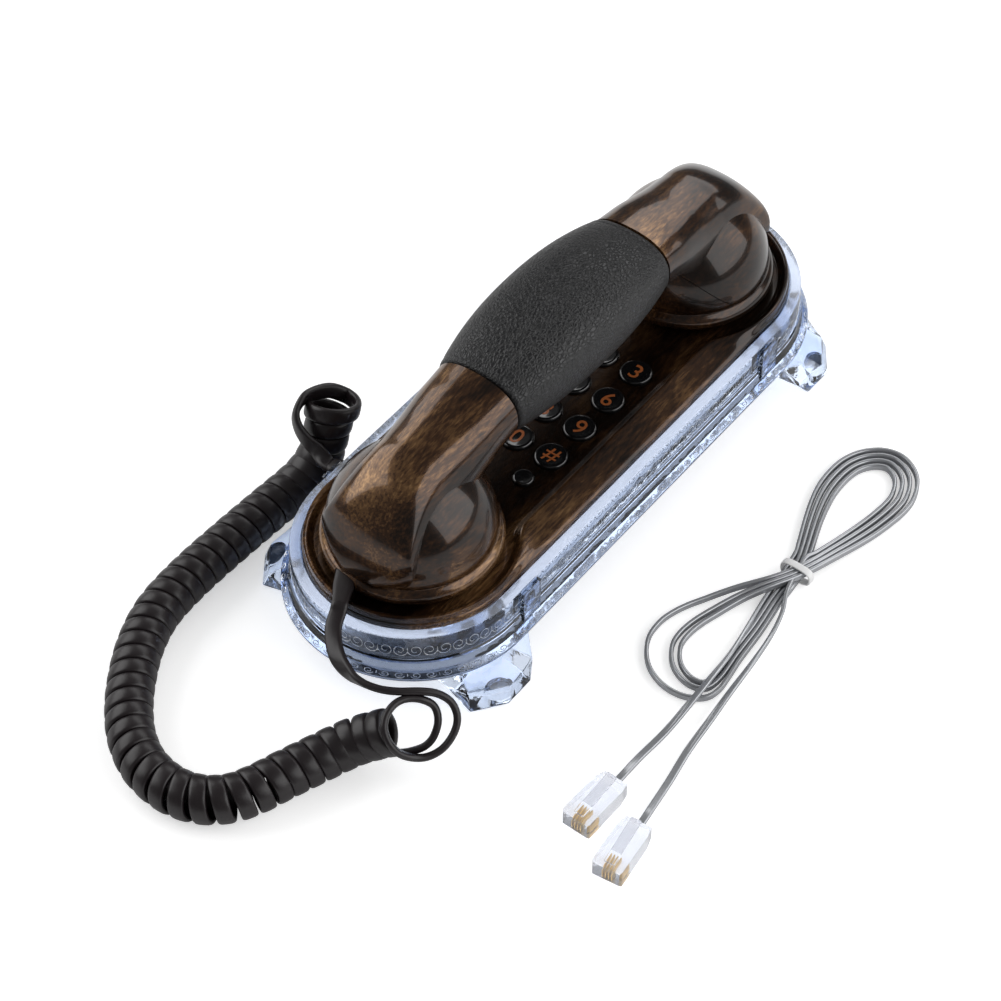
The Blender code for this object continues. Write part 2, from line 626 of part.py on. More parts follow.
def press_key(name, x, y, radius, steps, finish):
    """A round key with a dished top and a flange that keeps it under the panel."""
    top = PANEL_Z + KEY_UP
    flange_top = KEY_FLANGE_Z + KEY_FLANGE_T
    profile = [(0.0, top - 0.3 * MM), (radius * 0.88, top), (radius, top - 0.4 * MM), (radius, flange_top),
               (radius + KEY_FLANGE + GAP, flange_top),
               (radius + KEY_FLANGE + GAP, KEY_FLANGE_Z), (0.0, KEY_FLANGE_Z)]
    turned(name, [(r, z - PANEL_Z) for r, z in profile], (x, y, PANEL_Z), steps, finish)


def keypad():
    """Number keys, the two small keys, and the rubber mat whose nubs they press."""
    for label, x, y in key_places():
        press_key(f"key_{label}", x, y, KEY_R, 14, GLOSS_BLACK)
    for label, x, y in small_key_places():
        press_key(f"key_{label}", x, y, SMALL_KEY_R, 12, GLOSS_BLACK)
    places = [(x, y) for _, x, y in key_places() + small_key_places()]
    wide = KEY_PITCH_X + MAT_MARGIN
    far = KEY_TOP_ROW_Y + MAT_MARGIN
    near = SMALL_KEY_Y - MAT_MARGIN
    mat = box("key_mat", (-wide, near, MAT_Z), (wide, far, MAT_Z + MAT_T), SILICONE)
    nubs = cylinders("mat_nubs", places, NUB_R, MAT_Z + MAT_T / 2, KEY_FLANGE_Z - KEY_TRAVEL - GAP, steps=8)
    combine(mat, "UNION", nubs)


def electronics():
    """Circuit board with its tongue, hook switch and leaf spring, plunger, ringer and line jack."""
    outline = [(BOARD_X, -BOARD_Y), (BOARD_X, BOARD_Y), (BOARD_TONGUE_X, BOARD_Y),
               (BOARD_TONGUE_X, BOARD_TONGUE_Y), (-BOARD_TONGUE_X, BOARD_TONGUE_Y), (-BOARD_TONGUE_X, BOARD_Y),
               (-BOARD_X, BOARD_Y), (-BOARD_X, -BOARD_Y)]
    slab("circuit_board", outline, BOARD_Z, BOARD_TOP_Z, BOARD_GREEN)
    seat = BOARD_TOP_Z + GAP
    box("hook_switch", (-3.0 * MM, HOOK_Y - 3.5 * MM, seat), (3.0 * MM, HOOK_Y + 2.0 * MM, seat + 1.1 * MM),
        DARK_PLASTIC)
    hook_plunger()
    leaf_spring(seat)
    ringer_z = TRAY_FLOOR_Z + GAP
    turned("ringer_disc", [(0.0, RINGER_T), (RINGER_R * 0.55, RINGER_T), (RINGER_R * 0.6, RINGER_T * 0.7),
                           (RINGER_R, RINGER_T * 0.7), (RINGER_R, 0.0), (0.0, 0.0)],
           (0.0, -END_Y, ringer_z), 20, BRASS)
    line_jack()


def hook_plunger():
    """The plunger in the earpiece seat that the handset holds down."""
    half_x, half_y = HOOK_X_SIZE / 2, HOOK_Y_SIZE / 2
    plunger = box("hook_plunger", (-half_x, HOOK_Y - half_y, HOOK_FLANGE_Z), (half_x, HOOK_Y + half_y, HOOK_TOP_Z),
                  GLOSS_BLACK)
    wide = box("hook_flange", (-half_x - HOOK_FLANGE, HOOK_Y - half_y - HOOK_FLANGE, HOOK_FLANGE_Z),
               (half_x + HOOK_FLANGE, HOOK_Y + half_y + HOOK_FLANGE, HOOK_FLANGE_Z + HOOK_FLANGE_T))
    combine(plunger, "UNION", wide)


def leaf_spring(seat):
    """A bent steel strip: its foot is on the board's tongue, its free end under the plunger."""
    rise = HOOK_FLANGE_Z - GAP - seat
    foot_y = BOARD_TONGUE_Y - 1.0 * MM
    middle = [(foot_y, 0.0), (HOOK_Y + 4.5 * MM, 0.0), (HOOK_Y + 3.2 * MM, rise - LEAF_T - 0.8 * MM),
              (HOOK_Y, rise - LEAF_T), (HOOK_Y - 2.5 * MM, rise - LEAF_T)]
    half = 2.0 * MM
    rings = []
    for y, up in middle:
        low, high = seat + up, seat + up + LEAF_T
        rings.append([(-half, y, low), (half, y, low), (half, y, high), (-half, y, high)])
    loft("hook_leaf_spring", rings, STEEL, smooth=False)


def line_jack():
    """The modular socket in the far end of the base."""
    half_x = SOCKET_X / 2 + JACK_WALL
    high = JACK_Z + SOCKET_Z + 2 * JACK_WALL
    jack = box("line_jack", (-half_x, JACK_Y - SOCKET_L - JACK_WALL, JACK_Z), (half_x, JACK_Y, high), DARK_PLASTIC)
    socket = box("jack_socket", (-SOCKET_X / 2, JACK_Y - SOCKET_L, JACK_Z + JACK_WALL),
                 (SOCKET_X / 2, JACK_Y + MM, high - JACK_WALL))
    combine(jack, "DIFFERENCE", socket)


def screw(name, at, length, upwards=True):
    """A small pan-head screw driven from below."""
    direction = 1 if upwards else -1
    profile = [(0.0, length), (SCREW_R, length), (SCREW_R, SCREW_HEAD_T), (SCREW_HEAD_R, SCREW_HEAD_T),
               (SCREW_HEAD_R * 0.9, 0.3 * MM), (0.0, 0.0)]
    turned(name, [(r, z * direction) for r, z in profile], at, 12, STEEL)


def base_screws():
    """The four housing screws, heads in the bottom cover."""
    for number, (x, y) in enumerate(base_screw_places(), 1):
        screw(f"base_screw_{number}", (x, y, TRAY_Z - GAP), SCREW_L)


def strap_sections(name, stations, across, finish=None):
    """A flat flexible relief: rounded rectangles along a line, each with a centre, width and height."""
    rings = []
    for centre, width, height in stations:
        half, rise, cut = width / 2, height / 2, height * 0.28
        outline = [(half, -rise + cut), (half, rise - cut), (half - cut, rise), (-half + cut, rise),
                   (-half, rise - cut), (-half, -rise + cut), (-half + cut, -rise), (half - cut, -rise)]
        rings.append([tuple(np.array(centre) + np.array(across) * s + np.array((0.0, 0.0, 1.0)) * r)
                      for s, r in outline])
    return loft(name, rings, finish)


def base_cord_relief():
    """The grommet where the curly cord enters the side of the base."""
    x0 = -(RIM_R + 0.2 * MM)
    stations = [((x0 + 6.6 * MM, RELIEF_Y, RELIEF_IN_Z), 5.2 * MM, 3.0 * MM),
                ((x0, RELIEF_Y, RELIEF_IN_Z), 5.2 * MM, 3.0 * MM),
                ((x0 - 0.1 * MM, RELIEF_Y, RELIEF_IN_Z), 7.4 * MM, 4.8 * MM),
                ((x0 - 1.2 * MM, RELIEF_Y, RELIEF_IN_Z), 7.0 * MM, 4.4 * MM),
                ((RELIEF_TIP_X, RELIEF_Y, RELIEF_IN_Z), 5.0 * MM, 3.4 * MM)]
    strap_sections("base_cord_relief", stations, (0.0, 1.0, 0.0), CORD_BLACK)


# ---------------------------------------------------------------- handset

def lerp(a, b, t):
    """Between a and b by a share t."""
    return a + (b - a) * t


def section(y, half_width, top, bottom, steps=SECTION_STEPS):
    """One upright section of the handset: a rounded, slightly squared oval."""
    angles = np.linspace(0.0, 2 * math.pi, steps, endpoint=False)
    c, s = np.cos(angles), np.sin(angles)
    x = half_width * np.sign(c) * np.abs(c) ** (2 / SECTION_POWER)
    z = (top + bottom) / 2 + (top - bottom) / 2 * np.sign(s) * np.abs(s) ** (2 / SECTION_POWER)
    return [(float(a), y, SEAM_Z + float(b)) for a, b in zip(x, z)]


def grip_size(share):
    """Half width, top and bottom of the sleeve's outside at a share of its half length."""
    swell = 1.0 - share ** 2.2
    return (lerp(GRIP_END_X, GRIP_X, swell), lerp(GRIP_END_TOP, GRIP_TOP, swell),
            lerp(GRIP_END_BOTTOM, GRIP_BOTTOM, swell))


def handle_sections(inset):
    """Half of the handset's spine, from the middle out to one end, as (y, half width, top, bottom)."""
    found = []
    for share in (0.0, 0.3, 0.6, 0.88, 1.0):
        wide, top, bottom = grip_size(share)
        core = GRIP_T if share < 1.0 else GRIP_T - 0.6 * MM
        found.append((share * (GRIP_HALF + GAP), wide - core - inset, top - core - inset, bottom + core + inset))
    start = GRIP_HALF + 2 * GAP
    neck = ((0.0, 14.9, 36.9, 15.6), (0.15, 14.8, 36.3, 14.2), (0.32, 14.8, 35.7, 11.9), (0.52, 14.7, 34.8, 6.5),
            (0.72, 14.7, 33.8, 0.5))
    for share, wide, top, bottom in neck:
        low = bottom * MM
        found.append((lerp(start, DOME_Y, share), wide * MM - inset, top * MM - inset, low + inset))
    reach = SEAM_R + HOOD_FRONT_OUT - inset
    for turn in (0.0, 14.0, 27.0, 40.0, 53.0, 66.0, 78.0, 88.0):
        a = math.radians(turn)
        out = reach * math.sin(a) ** (2 / HOOD_POWER)
        up = (HOOD_H - inset) * math.cos(a) ** (2 / HOOD_POWER)
        round_end = math.sqrt((reach + 0.5 * MM) ** 2 - out ** 2)
        wide = min(lerp(HOOD_X, HOOD_FRONT_X, (out / reach) ** 2) - inset, round_end)
        found.append((DOME_Y + out, wide, up + 0.4 * MM, -3.5 * MM + inset))
    return found


def handset_spine(name, inset, steps):
    """The spine from hood to hood as one loft."""
    half = handle_sections(inset)
    whole = [(-y, w, t, b) for y, w, t, b in reversed(half)] + half[1:]
    return loft(name, [section(*row, steps=steps) for row in whole])


def pod_profile(inset):
    """One end of the handset from its crown round the cheek and the cup to its face."""
    deep = CUP_H - inset
    cheek = [((SEAM_R - inset) * math.sin(math.radians(a)), (CHEEK_H - inset) * math.cos(math.radians(a)))
             for a in (0, 13, 26, 39, 52, 65, 78, 90)]
    return cheek + [(SEAM_R - inset, -0.7 * MM), (SEAM_R + 1.2 * MM - inset, -1.9 * MM),
                    (CUP_R - inset, -0.45 * deep), (CUP_R - 0.3 * MM - inset, -0.66 * deep),
                    (CUP_R - 1.7 * MM - inset, -0.9 * deep), (CUP_FACE_R - inset, -deep), (0.0, -deep)]


def handset_body(name, inset):
    """Spine and both end pods joined: the outside with no inset, the inside with one and fewer facets."""
    body = handset_spine(name, inset, SECTION_STEPS if inset == 0.0 else HOLLOW_STEPS)
    for label, y in (("ear", DOME_Y), ("mouth", -DOME_Y)):
        pod = turned(f"{name}_{label}_pod", pod_profile(inset), (0.0, y, SEAM_Z), 30 if inset == 0.0 else 20, None)
        combine(body, "UNION", pod)
    return body


def seam_line(drop):
    """The parting line seen from the side: low round the cups, rising to run along the handle."""
    low_y, high_y = DOME_Y - 6.0 * MM, GRIP_HALF + 2.0 * MM
    rise = lerp(GRIP_END_BOTTOM, GRIP_END_TOP, 0.3)
    places = np.linspace(-low_y, low_y, 31)
    shares = np.clip((np.abs(places) - high_y) / (low_y - high_y), 0.0, 1.0)
    heights = SEAM_Z + rise * (0.5 + 0.5 * np.cos(math.pi * shares))
    heights -= drop * np.hypot(1.0, np.gradient(heights, places))
    line = [(float(y), float(z)) for y, z in zip(places, heights)]
    far = DOME_Y + 2 * CUP_R
    return [(-far, SEAM_Z - drop)] + line + [(far, SEAM_Z - drop)]


def side_prism(name, outline):
    """A prism across the phone from an outline drawn in side view."""
    half = 2 * CUP_R
    return loft(name, [[(x, y, z) for y, z in outline] for x in (-half, half)], smooth=False)


def handset_shells():
    """Upper and lower shell: the hollow body parted along the seam."""
    high, low = SEAM_Z + 3 * HOOD_H, CUP_Z - 10 * MM
    above = seam_line(0.0)
    below = seam_line(GAP)
    over = side_prism("above_seam", above + [(above[-1][0], high), (above[0][0], high)])
    under = side_prism("below_seam", below + [(below[-1][0], low), (below[0][0], low)])
    screw_places = [(0.0, -HANDSET_SCREW_Y), (0.0, HANDSET_SCREW_Y)]
    hollow = handset_body("handset_hollow", SHELL_T)
    upper = handset_body("handset_upper_shell", 0.0)
    move_to_parts(upper, WOOD)
    boss_low = SCREW_FLOOR_Z + GAP
    bosses = cylinders("upper_bosses", screw_places, BOSS_R, boss_low, SEAM_Z + GRIP_END_TOP - SHELL_T, steps=12)
    pilots = cylinders("upper_pilots", screw_places, SCREW_R + GAP, boss_low - MM,
                       SCREW_HEAD_Z + HANDSET_SCREW_L + 2 * GAP, steps=12)
    combine(upper, "DIFFERENCE", hollow, nested=True)
    combine(upper, "INTERSECT", over)
    combine(upper, "UNION", bosses)
    combine(upper, "DIFFERENCE", pilots)
    lower = handset_body("handset_lower_shell", 0.0)
    move_to_parts(lower, WOOD)
    mouths = cylinders("cup_mouths", [(0.0, -DOME_Y), (0.0, DOME_Y)], CAP_R + GAP, CUP_Z - MM,
                       CUP_Z + SHELL_T + MM, steps=24)
    towers = cylinders("lower_screw_seats", screw_places, SCREW_HEAD_R + SHELL_T,
                       SCREW_FLOOR_Z - SHELL_T, SCREW_FLOOR_Z, steps=12)
    shanks = cylinders("lower_shank_holes", screw_places, SCREW_R + GAP, SCREW_HEAD_Z - 10 * MM,
                       SCREW_FLOOR_Z + MM, steps=10)
    heads = cylinders("lower_head_seats", screw_places, SCREW_HEAD_R + GAP, SCREW_HEAD_Z - 10 * MM,
                      SCREW_HEAD_Z + SCREW_HEAD_T + GAP, steps=12)
    combine(lower, "DIFFERENCE", hollow, nested=True)
    combine(lower, "INTERSECT", under)
    combine(lower, "UNION", towers)
    combine(lower, "DIFFERENCE", mouths, shanks, heads, HANDSET_WINDOW)


def move_to_parts(item, finish):
    """Make a shaped solid a visible part."""
    CUTTERS.objects.unlink(item)
    PARTS.objects.link(item)
    item.hide_render = False
    item.display_type = "TEXTURED"
    item.data.materials.append(finish)


def grip_sleeve():
    """The padded barrel sleeve with rolled ends, bored to slide over the handle."""
    outer, inner = [], []
    stations = [-1.0, -0.985, -0.92, -0.7, -0.4, 0.0, 0.4, 0.7, 0.92, 0.985, 1.0]
    for share in stations:
        wide, top, bottom = grip_size(abs(share))
        roll = GRIP_ROLL if abs(share) == 1.0 else (-0.25 * GRIP_ROLL if abs(share) > 0.97 else 0.0)
        outer.append(section(share * GRIP_HALF, wide - roll, top - roll, bottom + roll))
    for share in (-1.1, -1.0, -0.88, -0.6, -0.3, 0.0, 0.3, 0.6, 0.88, 1.0, 1.1):
        wide, top, bottom = grip_size(min(1.0, abs(share)))
        wall = GRIP_T - GAP if abs(share) < 1.0 else GRIP_T - 0.6 * MM - GAP
        inner.append(section(share * (GRIP_HALF + GAP), wide - wall, top - wall, bottom + wall))
    sleeve = loft("grip_sleeve", outer, LEATHER)
    combine(sleeve, "DIFFERENCE", loft("sleeve_bore", inner))


def cap(name, y, hole_ring):
    """A dished cap let into a cup's face, with sound holes and an inner lip."""
    lip_z = SHELL_T + GAP
    profile = [(0.0, lip_z + CAP_LIP_T), (CAP_R + CAP_LIP, lip_z + CAP_LIP_T), (CAP_R + CAP_LIP, lip_z),
               (CAP_R, lip_z), (CAP_R, 0.2 * MM), (CAP_R * 0.85, 0.7 * MM), (0.0, 0.9 * MM)]
    body = turned(name, profile, (0.0, y, CUP_Z), 24, DARK_PLASTIC)
    places = [(0.0, y)] + [(hole_ring * math.cos(math.radians(a)), y + hole_ring * math.sin(math.radians(a)))
                           for a in range(0, 360, 60)]
    holes = cylinders(name + "_holes", places, 1.0 * MM, CUP_Z - MM, CUP_Z + lip_z + CAP_LIP_T + MM, steps=6)
    combine(body, "DIFFERENCE", holes)


def handset_contents():
    """Caps, receiver, microphone, balance weight and screws."""
    cap("receiver_cap", DOME_Y, 6.5 * MM)
    cap("microphone_cap", -DOME_Y, 4.0 * MM)
    seat = CUP_Z + SHELL_T + GAP + CAP_LIP_T + GAP
    turned("receiver_capsule", [(0.0, CAPSULE_T), (CAPSULE_R * 0.5, CAPSULE_T), (CAPSULE_R * 0.55, CAPSULE_T * 0.6),
                                (CAPSULE_R, CAPSULE_T * 0.5), (CAPSULE_R, 0.0), (0.0, 0.0)],
           (0.0, DOME_Y, seat), 24, STEEL)
    turned("microphone_capsule", [(0.0, MIC_T), (MIC_R * 0.6, MIC_T), (MIC_R, MIC_T * 0.6), (MIC_R, 0.0), (0.0, 0.0)],
           (0.0, -DOME_Y, seat), 20, RUBBER)
    _, _, bottom = grip_size(WEIGHT_Y / 2 / GRIP_HALF)
    low = SEAM_Z + bottom + GRIP_T + SHELL_T + GAP + 0.8 * MM
    weight = box("handset_weight", (-WEIGHT_X / 2, -WEIGHT_Y / 2, low), (WEIGHT_X / 2, WEIGHT_Y / 2, low + WEIGHT_Z),
                 STEEL)
    round_edges(weight, 1.0 * MM, segments=1)
    for label, y in (("ear", HANDSET_SCREW_Y), ("mouth", -HANDSET_SCREW_Y)):
        screw(f"handset_screw_{label}", (0.0, y, SCREW_HEAD_Z), HANDSET_SCREW_L)


def relief_frame():
    """Where the cord relief leaves the end of the mouthpiece cup, its direction, and across it."""
    heading = unit(np.array((0.50, -0.866, 0.0)))
    start = np.array((-3.4 * MM, -(DOME_Y + CUP_R) + 0.4 * MM, RELIEF_Z))
    return start, heading, np.array((-heading[1], heading[0], 0.0))


def handset_cord_relief():
    """The flat tapered relief that leads the cord out over the rim, with a collar inside the shell."""
    start, heading, across = relief_frame()
    collar = start - heading * RELIEF_COLLAR + np.array((0.0, 0.0, 0.6 * MM))
    neck = start - heading * (RELIEF_COLLAR - 0.1 * MM)
    stations = [(collar - heading * 1.0 * MM, 7.3 * MM, 3.6 * MM), (collar, 7.3 * MM, 3.6 * MM),
                (neck, RELIEF_NECK_X, RELIEF_NECK_Z),
                (start + heading * 2.4 * MM, RELIEF_NECK_X, RELIEF_NECK_Z),
                (start + heading * 2.9 * MM, 6.6 * MM, 3.4 * MM),
                (start + heading * RELIEF_OUT, 5.2 * MM, 3.4 * MM)]
    strap_sections("handset_cord_relief", stations, across, CORD_BLACK)


def handset_window():
    """The slot in the lower shell that the relief passes through."""
    start, heading, across = relief_frame()
    wide, high = RELIEF_NECK_X + 2 * GAP, RELIEF_NECK_Z + 2 * GAP
    stations = [(start - heading * (RELIEF_COLLAR - 0.4 * MM), wide, high), (start + heading * 4.0 * MM, wide, high)]
    return strap_sections("handset_window", stations, across)


# ---------------------------------------------------------------- cords

def curly_cord():
    """Coil and its two straight tails; each meets the next square, a clearance apart."""
    axis = np.array(COIL_AXIS) * MM
    curls = helix(axis, COIL_R, COIL_PITCH, COIL_POINTS, COIL_FIRST_SIDE)
    lead = 2 * COIL_TUBE_R
    curls = curls[:COIL_STEPS]
    first = unit(curls[0] - curls[1])
    last = unit(curls[-1] - curls[-2])
    coil = np.vstack([curls[0] + first * lead, curls, curls[-1] + last * lead])
    print("curly cord: least gap to itself", round(least_gap(coil, COIL_TUBE_R, 5) / MM, 2), "mm,",
          round(len(curls) / COIL_POINTS, 1), "curls")
    tube("curly_cord_coil", coil, COIL_TUBE_R, CORD_BLACK, 1)
    entry = np.array((RELIEF_TIP_X - GAP, RELIEF_Y, RELIEF_IN_Z))
    base_route = [np.array(point) * MM for point in BASE_TAIL]
    base_tail = led_path(entry, np.array((-1.0, 0.0, 0.0)), base_route, coil[0] + first * GAP, first,
                         2 * TAIL_R, 4 * TAIL_R)
    tube("curly_cord_base_tail", base_tail, TAIL_R, CORD_BLACK, 2)
    start, heading, _ = relief_frame()
    handset_route = [np.array(point) * MM for point in HANDSET_TAIL] + fallen_curls()[::-1]
    handset_tail = led_path(start + heading * (RELIEF_OUT + GAP), heading, handset_route, coil[-1] + last * GAP,
                            last, 2 * TAIL_R, 4 * TAIL_R)
    print("handset tail: least gap to itself", round(least_gap(handset_tail, TAIL_R, 3) / MM, 2), "mm")
    tube("curly_cord_handset_tail", handset_tail, TAIL_R, CORD_BLACK, 2)


def figure_eight(t):
    """Plan point of the hank's middle line, in mm from the tie: up through it, round, and back down."""
    rise = math.sin(t)
    reach, lean = EIGHT_FAR if rise > 0.0 else EIGHT_NEAR
    half = EIGHT_HALF - EIGHT_TAPER * rise
    return np.array((half * math.sin(2 * t) - EIGHT_BLUNT * math.sin(4 * t) + lean * rise ** 2, reach * rise))


def line_cord():
    """The hank of figure-of-eight loops, each laid beside the last, its tie, two tails and two plugs."""
    samples = int(round((LINE_END - LINE_START) * LINE_POINTS))
    turns = (LINE_START + np.arange(samples + 1) / LINE_POINTS) * 2 * math.pi
    middle = np.array([figure_eight(t) for t in turns]) * MM
    ahead = np.array([figure_eight(t + 0.01) for t in turns]) * MM
    along = ahead - middle
    along /= np.linalg.norm(along, axis=1)[:, None]
    beside = np.stack([-along[:, 1], along[:, 0]], axis=1)
    shift = LINE_STEP * (turns / (2 * math.pi) - (LINE_START + LINE_END) / 2)
    plan = middle + beside * shift[:, None] + (TIE_X, TIE_Y)
    over_tie = (TIE_T + GAP) * np.cos(turns) ** 8
    climb = 3.8 * MM * np.clip(1.0 - np.arange(samples + 1) / 6, 0.0, 1.0) ** 2
    height = LINE_R + 0.05 * MM + over_tie + climb + LINE_LIFT * (0.5 - 0.5 * np.cos(turns))
    hank = np.c_[plan, height]
    first = unit(hank[0] - hank[1])
    last = unit(hank[-1] - hank[-2])
    hank = np.vstack([hank[0] + first * 2.2 * LINE_R, hank, hank[-1] + last * 2.2 * LINE_R])
    print("line cord: least gap to itself", round(least_gap(hank, LINE_R, 3) / MM, 2), "mm")
    tube("line_cord_hank", hank, LINE_R, CORD_GREY, 1)
    line_tail("line_cord_tail_a", hank[0] + first * GAP, first, LINE_TAIL_A, "line_plug_a", PLUG_A)
    line_tail("line_cord_tail_b", hank[-1] + last * GAP, last, LINE_TAIL_B, "line_plug_b", PLUG_B)
    line_tie()


def line_tail(name, start, heading, route, plug_name, plug):
    """A straight tail from the hank to its plug, whose heading in plan is given."""
    place_mm, degrees = plug
    end = np.array(place_mm) * MM
    back = -np.array((math.cos(math.radians(degrees)), math.sin(math.radians(degrees)), 0.0))
    cord_end = end + back * GAP
    path = led_path(start, heading, [np.array(point) * MM for point in route], cord_end, back,
                    2 * LINE_R, 5 * LINE_R)
    tube(name, path, LINE_R, CORD_GREY, 2)
    modular_plug(plug_name, end, -back)


def modular_plug(name, start, forward):
    """A six-position plug: body with a raised cord neck and the latch tongue above it."""
    across = np.array((-forward[1], forward[0], 0.0))
    up = np.array((0.0, 0.0, 1.0))
    half, mid = PLUG_X / 2, PLUG_Z / 2
    base = start - up * start[2] + up * (mid + 0.05 * MM)

    def ring(distance, half_width, low, high):
        corners = ((-half_width, low), (half_width, low), (half_width, high), (-half_width, high))
        return [tuple(base + forward * distance + across * a + up * b) for a, b in corners]

    rings = [ring(0.0, half - 0.8 * MM, -mid, mid - 1.4 * MM), ring(4.0 * MM, half, -mid, mid - 0.6 * MM),
             ring(PLUG_L - 7.0 * MM, half, -mid, mid), ring(PLUG_L - 0.6 * MM, half, -mid, mid),
             ring(PLUG_L, half - 0.5 * MM, -mid + 0.5 * MM, mid - 0.5 * MM)]
    plug = loft(name, rings, CLEAR_PLUG, smooth=False)
    latch_low, latch_high = mid - 0.3 * MM, mid + 1.0 * MM
    latch = [ring(PLUG_L - 1.6 * MM, 1.6 * MM, latch_low, mid + 0.5 * MM),
             ring(PLUG_L - 5.0 * MM, 1.6 * MM, latch_low + 0.2 * MM, latch_high),
             ring(2.0 * MM, 1.6 * MM, mid + 1.3 * MM, mid + 2.3 * MM)]
    combine(plug, "UNION", loft(name + "_latch", latch, smooth=False))


def line_tie():
    """The white strap round both layers of the hank where they cross."""
    centre = TIE_X + TIE_OFF
    top = 2 * (LINE_R + GAP / 2) + LINE_LIFT + 2 * GAP + TIE_T + 0.05 * MM
    outside = box("line_cord_tie", (centre - TIE_HALF - TIE_T, TIE_Y - TIE_W / 2, 0.02 * MM),
                  (centre + TIE_HALF + TIE_T, TIE_Y + TIE_W / 2, top + TIE_T), TIE_WHITE)
    inside = box("tie_inside", (centre - TIE_HALF, TIE_Y - TIE_W, TIE_T), (centre + TIE_HALF, TIE_Y + TIE_W, top))
    combine(outside, "DIFFERENCE", inside)


# ---------------------------------------------------------------- build

clear_scene()
PARTS = new_collection("slimline_wall_phone")
CUTTERS = new_collection("cutters")
WOOD = material("dark_wood_grain_plastic", "3A2414", 0.18)
CLEAR_BLUE = material("clear_blue_styrene", "B9D2F0", 0.08, clear=0.9)
RUBBER = material("grey_rubber", "3C4046", 0.8)
DARK_PLASTIC = material("black_plastic", "17181A", 0.45)
GLOSS_BLACK = material("gloss_black_plastic", "0E0D0D", 0.15)
SILICONE = material("grey_silicone", "8C8F92", 0.7)
BOARD_GREEN = material("circuit_board_green", "1F5A33", 0.5)
BRASS = material("brass", "B89A55", 0.35, metallic=1.0)
STEEL = material("zinc_plated_steel", "9DA0A3", 0.35, metallic=1.0)
LEATHER = material("black_leatherette", "1B1B1D", 0.55)
CORD_BLACK = material("black_brown_cord", "1E1819", 0.4)
CORD_GREY = material("silver_grey_cord", "8B8C8E", 0.4)
CLEAR_PLUG = material("clear_polycarbonate", "E8EAEE", 0.1, clear=0.9)
TIE_WHITE = material("white_plastic_tie", "E6E6E6", 0.5)

JACK_HALF = SOCKET_X / 2 + JACK_WALL + GAP
JACK_WINDOW = box("jack_window", (-JACK_HALF, END_Y, JACK_Z - GAP),
                  (JACK_HALF, END_Y + 2 * RIM_R, JACK_Z + SOCKET_Z + 2 * JACK_WALL + GAP))
CORD_WINDOW = box("cord_window", (-RIM_R - 5 * MM, RELIEF_Y - 2.9 * MM, RELIEF_IN_Z - 1.8 * MM),
                  (-COVER_R + 2 * SHELL_T, RELIEF_Y + 2.9 * MM, RELIEF_IN_Z + 1.8 * MM))
CORD_NOTCH = box("cord_notch", (-RIM_R, RELIEF_Y - 2.9 * MM, COVER_Z - MM),
                 (-COVER_R + 2 * SHELL_T, RELIEF_Y + 2.9 * MM, RELIEF_IN_Z + 1.8 * MM))
HANDSET_WINDOW = handset_window()

clear_cradle()
feet_and_pads()
bottom_cover()
top_cover()
keypad()
electronics()
base_screws()
base_cord_relief()
handset_shells()
grip_sleeve()
handset_contents()
handset_cord_relief()
curly_cord()
line_cord()
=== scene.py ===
"""Slimline wall telephone with its line cord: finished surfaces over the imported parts, in the parts' own frame."""

import math

import bpy
import numpy as np
from mathutils import Matrix, Vector


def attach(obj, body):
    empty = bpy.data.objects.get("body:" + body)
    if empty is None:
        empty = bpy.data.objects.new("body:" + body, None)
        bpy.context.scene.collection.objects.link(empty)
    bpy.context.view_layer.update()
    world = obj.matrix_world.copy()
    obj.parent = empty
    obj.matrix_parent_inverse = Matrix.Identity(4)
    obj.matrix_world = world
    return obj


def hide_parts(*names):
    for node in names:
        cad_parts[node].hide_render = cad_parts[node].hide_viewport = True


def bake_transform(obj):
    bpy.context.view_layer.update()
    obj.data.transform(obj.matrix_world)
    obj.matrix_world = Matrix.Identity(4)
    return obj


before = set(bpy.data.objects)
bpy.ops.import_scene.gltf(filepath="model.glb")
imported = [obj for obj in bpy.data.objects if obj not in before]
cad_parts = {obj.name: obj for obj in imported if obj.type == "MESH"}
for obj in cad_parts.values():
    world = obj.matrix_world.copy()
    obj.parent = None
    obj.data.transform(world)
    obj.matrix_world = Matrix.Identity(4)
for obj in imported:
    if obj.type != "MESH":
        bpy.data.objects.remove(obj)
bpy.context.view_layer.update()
MM = 0.001


# -------------------- studio
# A pale matt table top under soft lamps, and the camera at the photograph's angle.
# The table and the surroundings read white, and the table keeps the phone's shadow.

def linear(hex_colour):
    """An sRGB hex colour as linear red, green, blue and alpha."""
    values = [int(hex_colour[i:i + 2], 16) / 255 for i in (0, 2, 4)]
    return [v / 12.92 if v <= 0.04045 else ((v + 0.055) / 1.055) ** 2.4 for v in values] + [1.0]


def put(name, data):
    """A new object of some data, in the scene."""
    item = bpy.data.objects.new(name, data)
    bpy.context.scene.collection.objects.link(item)
    return item


def shape(name, points, faces):
    """A new object with a mesh of points and faces."""
    mesh = bpy.data.meshes.new(name)
    mesh.from_pydata(points, [], faces)
    return put(name, mesh)


def feed(tree, node, inputs):
    """Give a node's inputs values, other nodes' first outputs, or outputs chosen by name."""
    for socket, value in inputs.items():
        if isinstance(value, bpy.types.Node):
            value = value.outputs[0]
        if isinstance(value, bpy.types.NodeSocket):
            tree.links.new(value, node.inputs[socket])
        else:
            node.inputs[socket].default_value = value


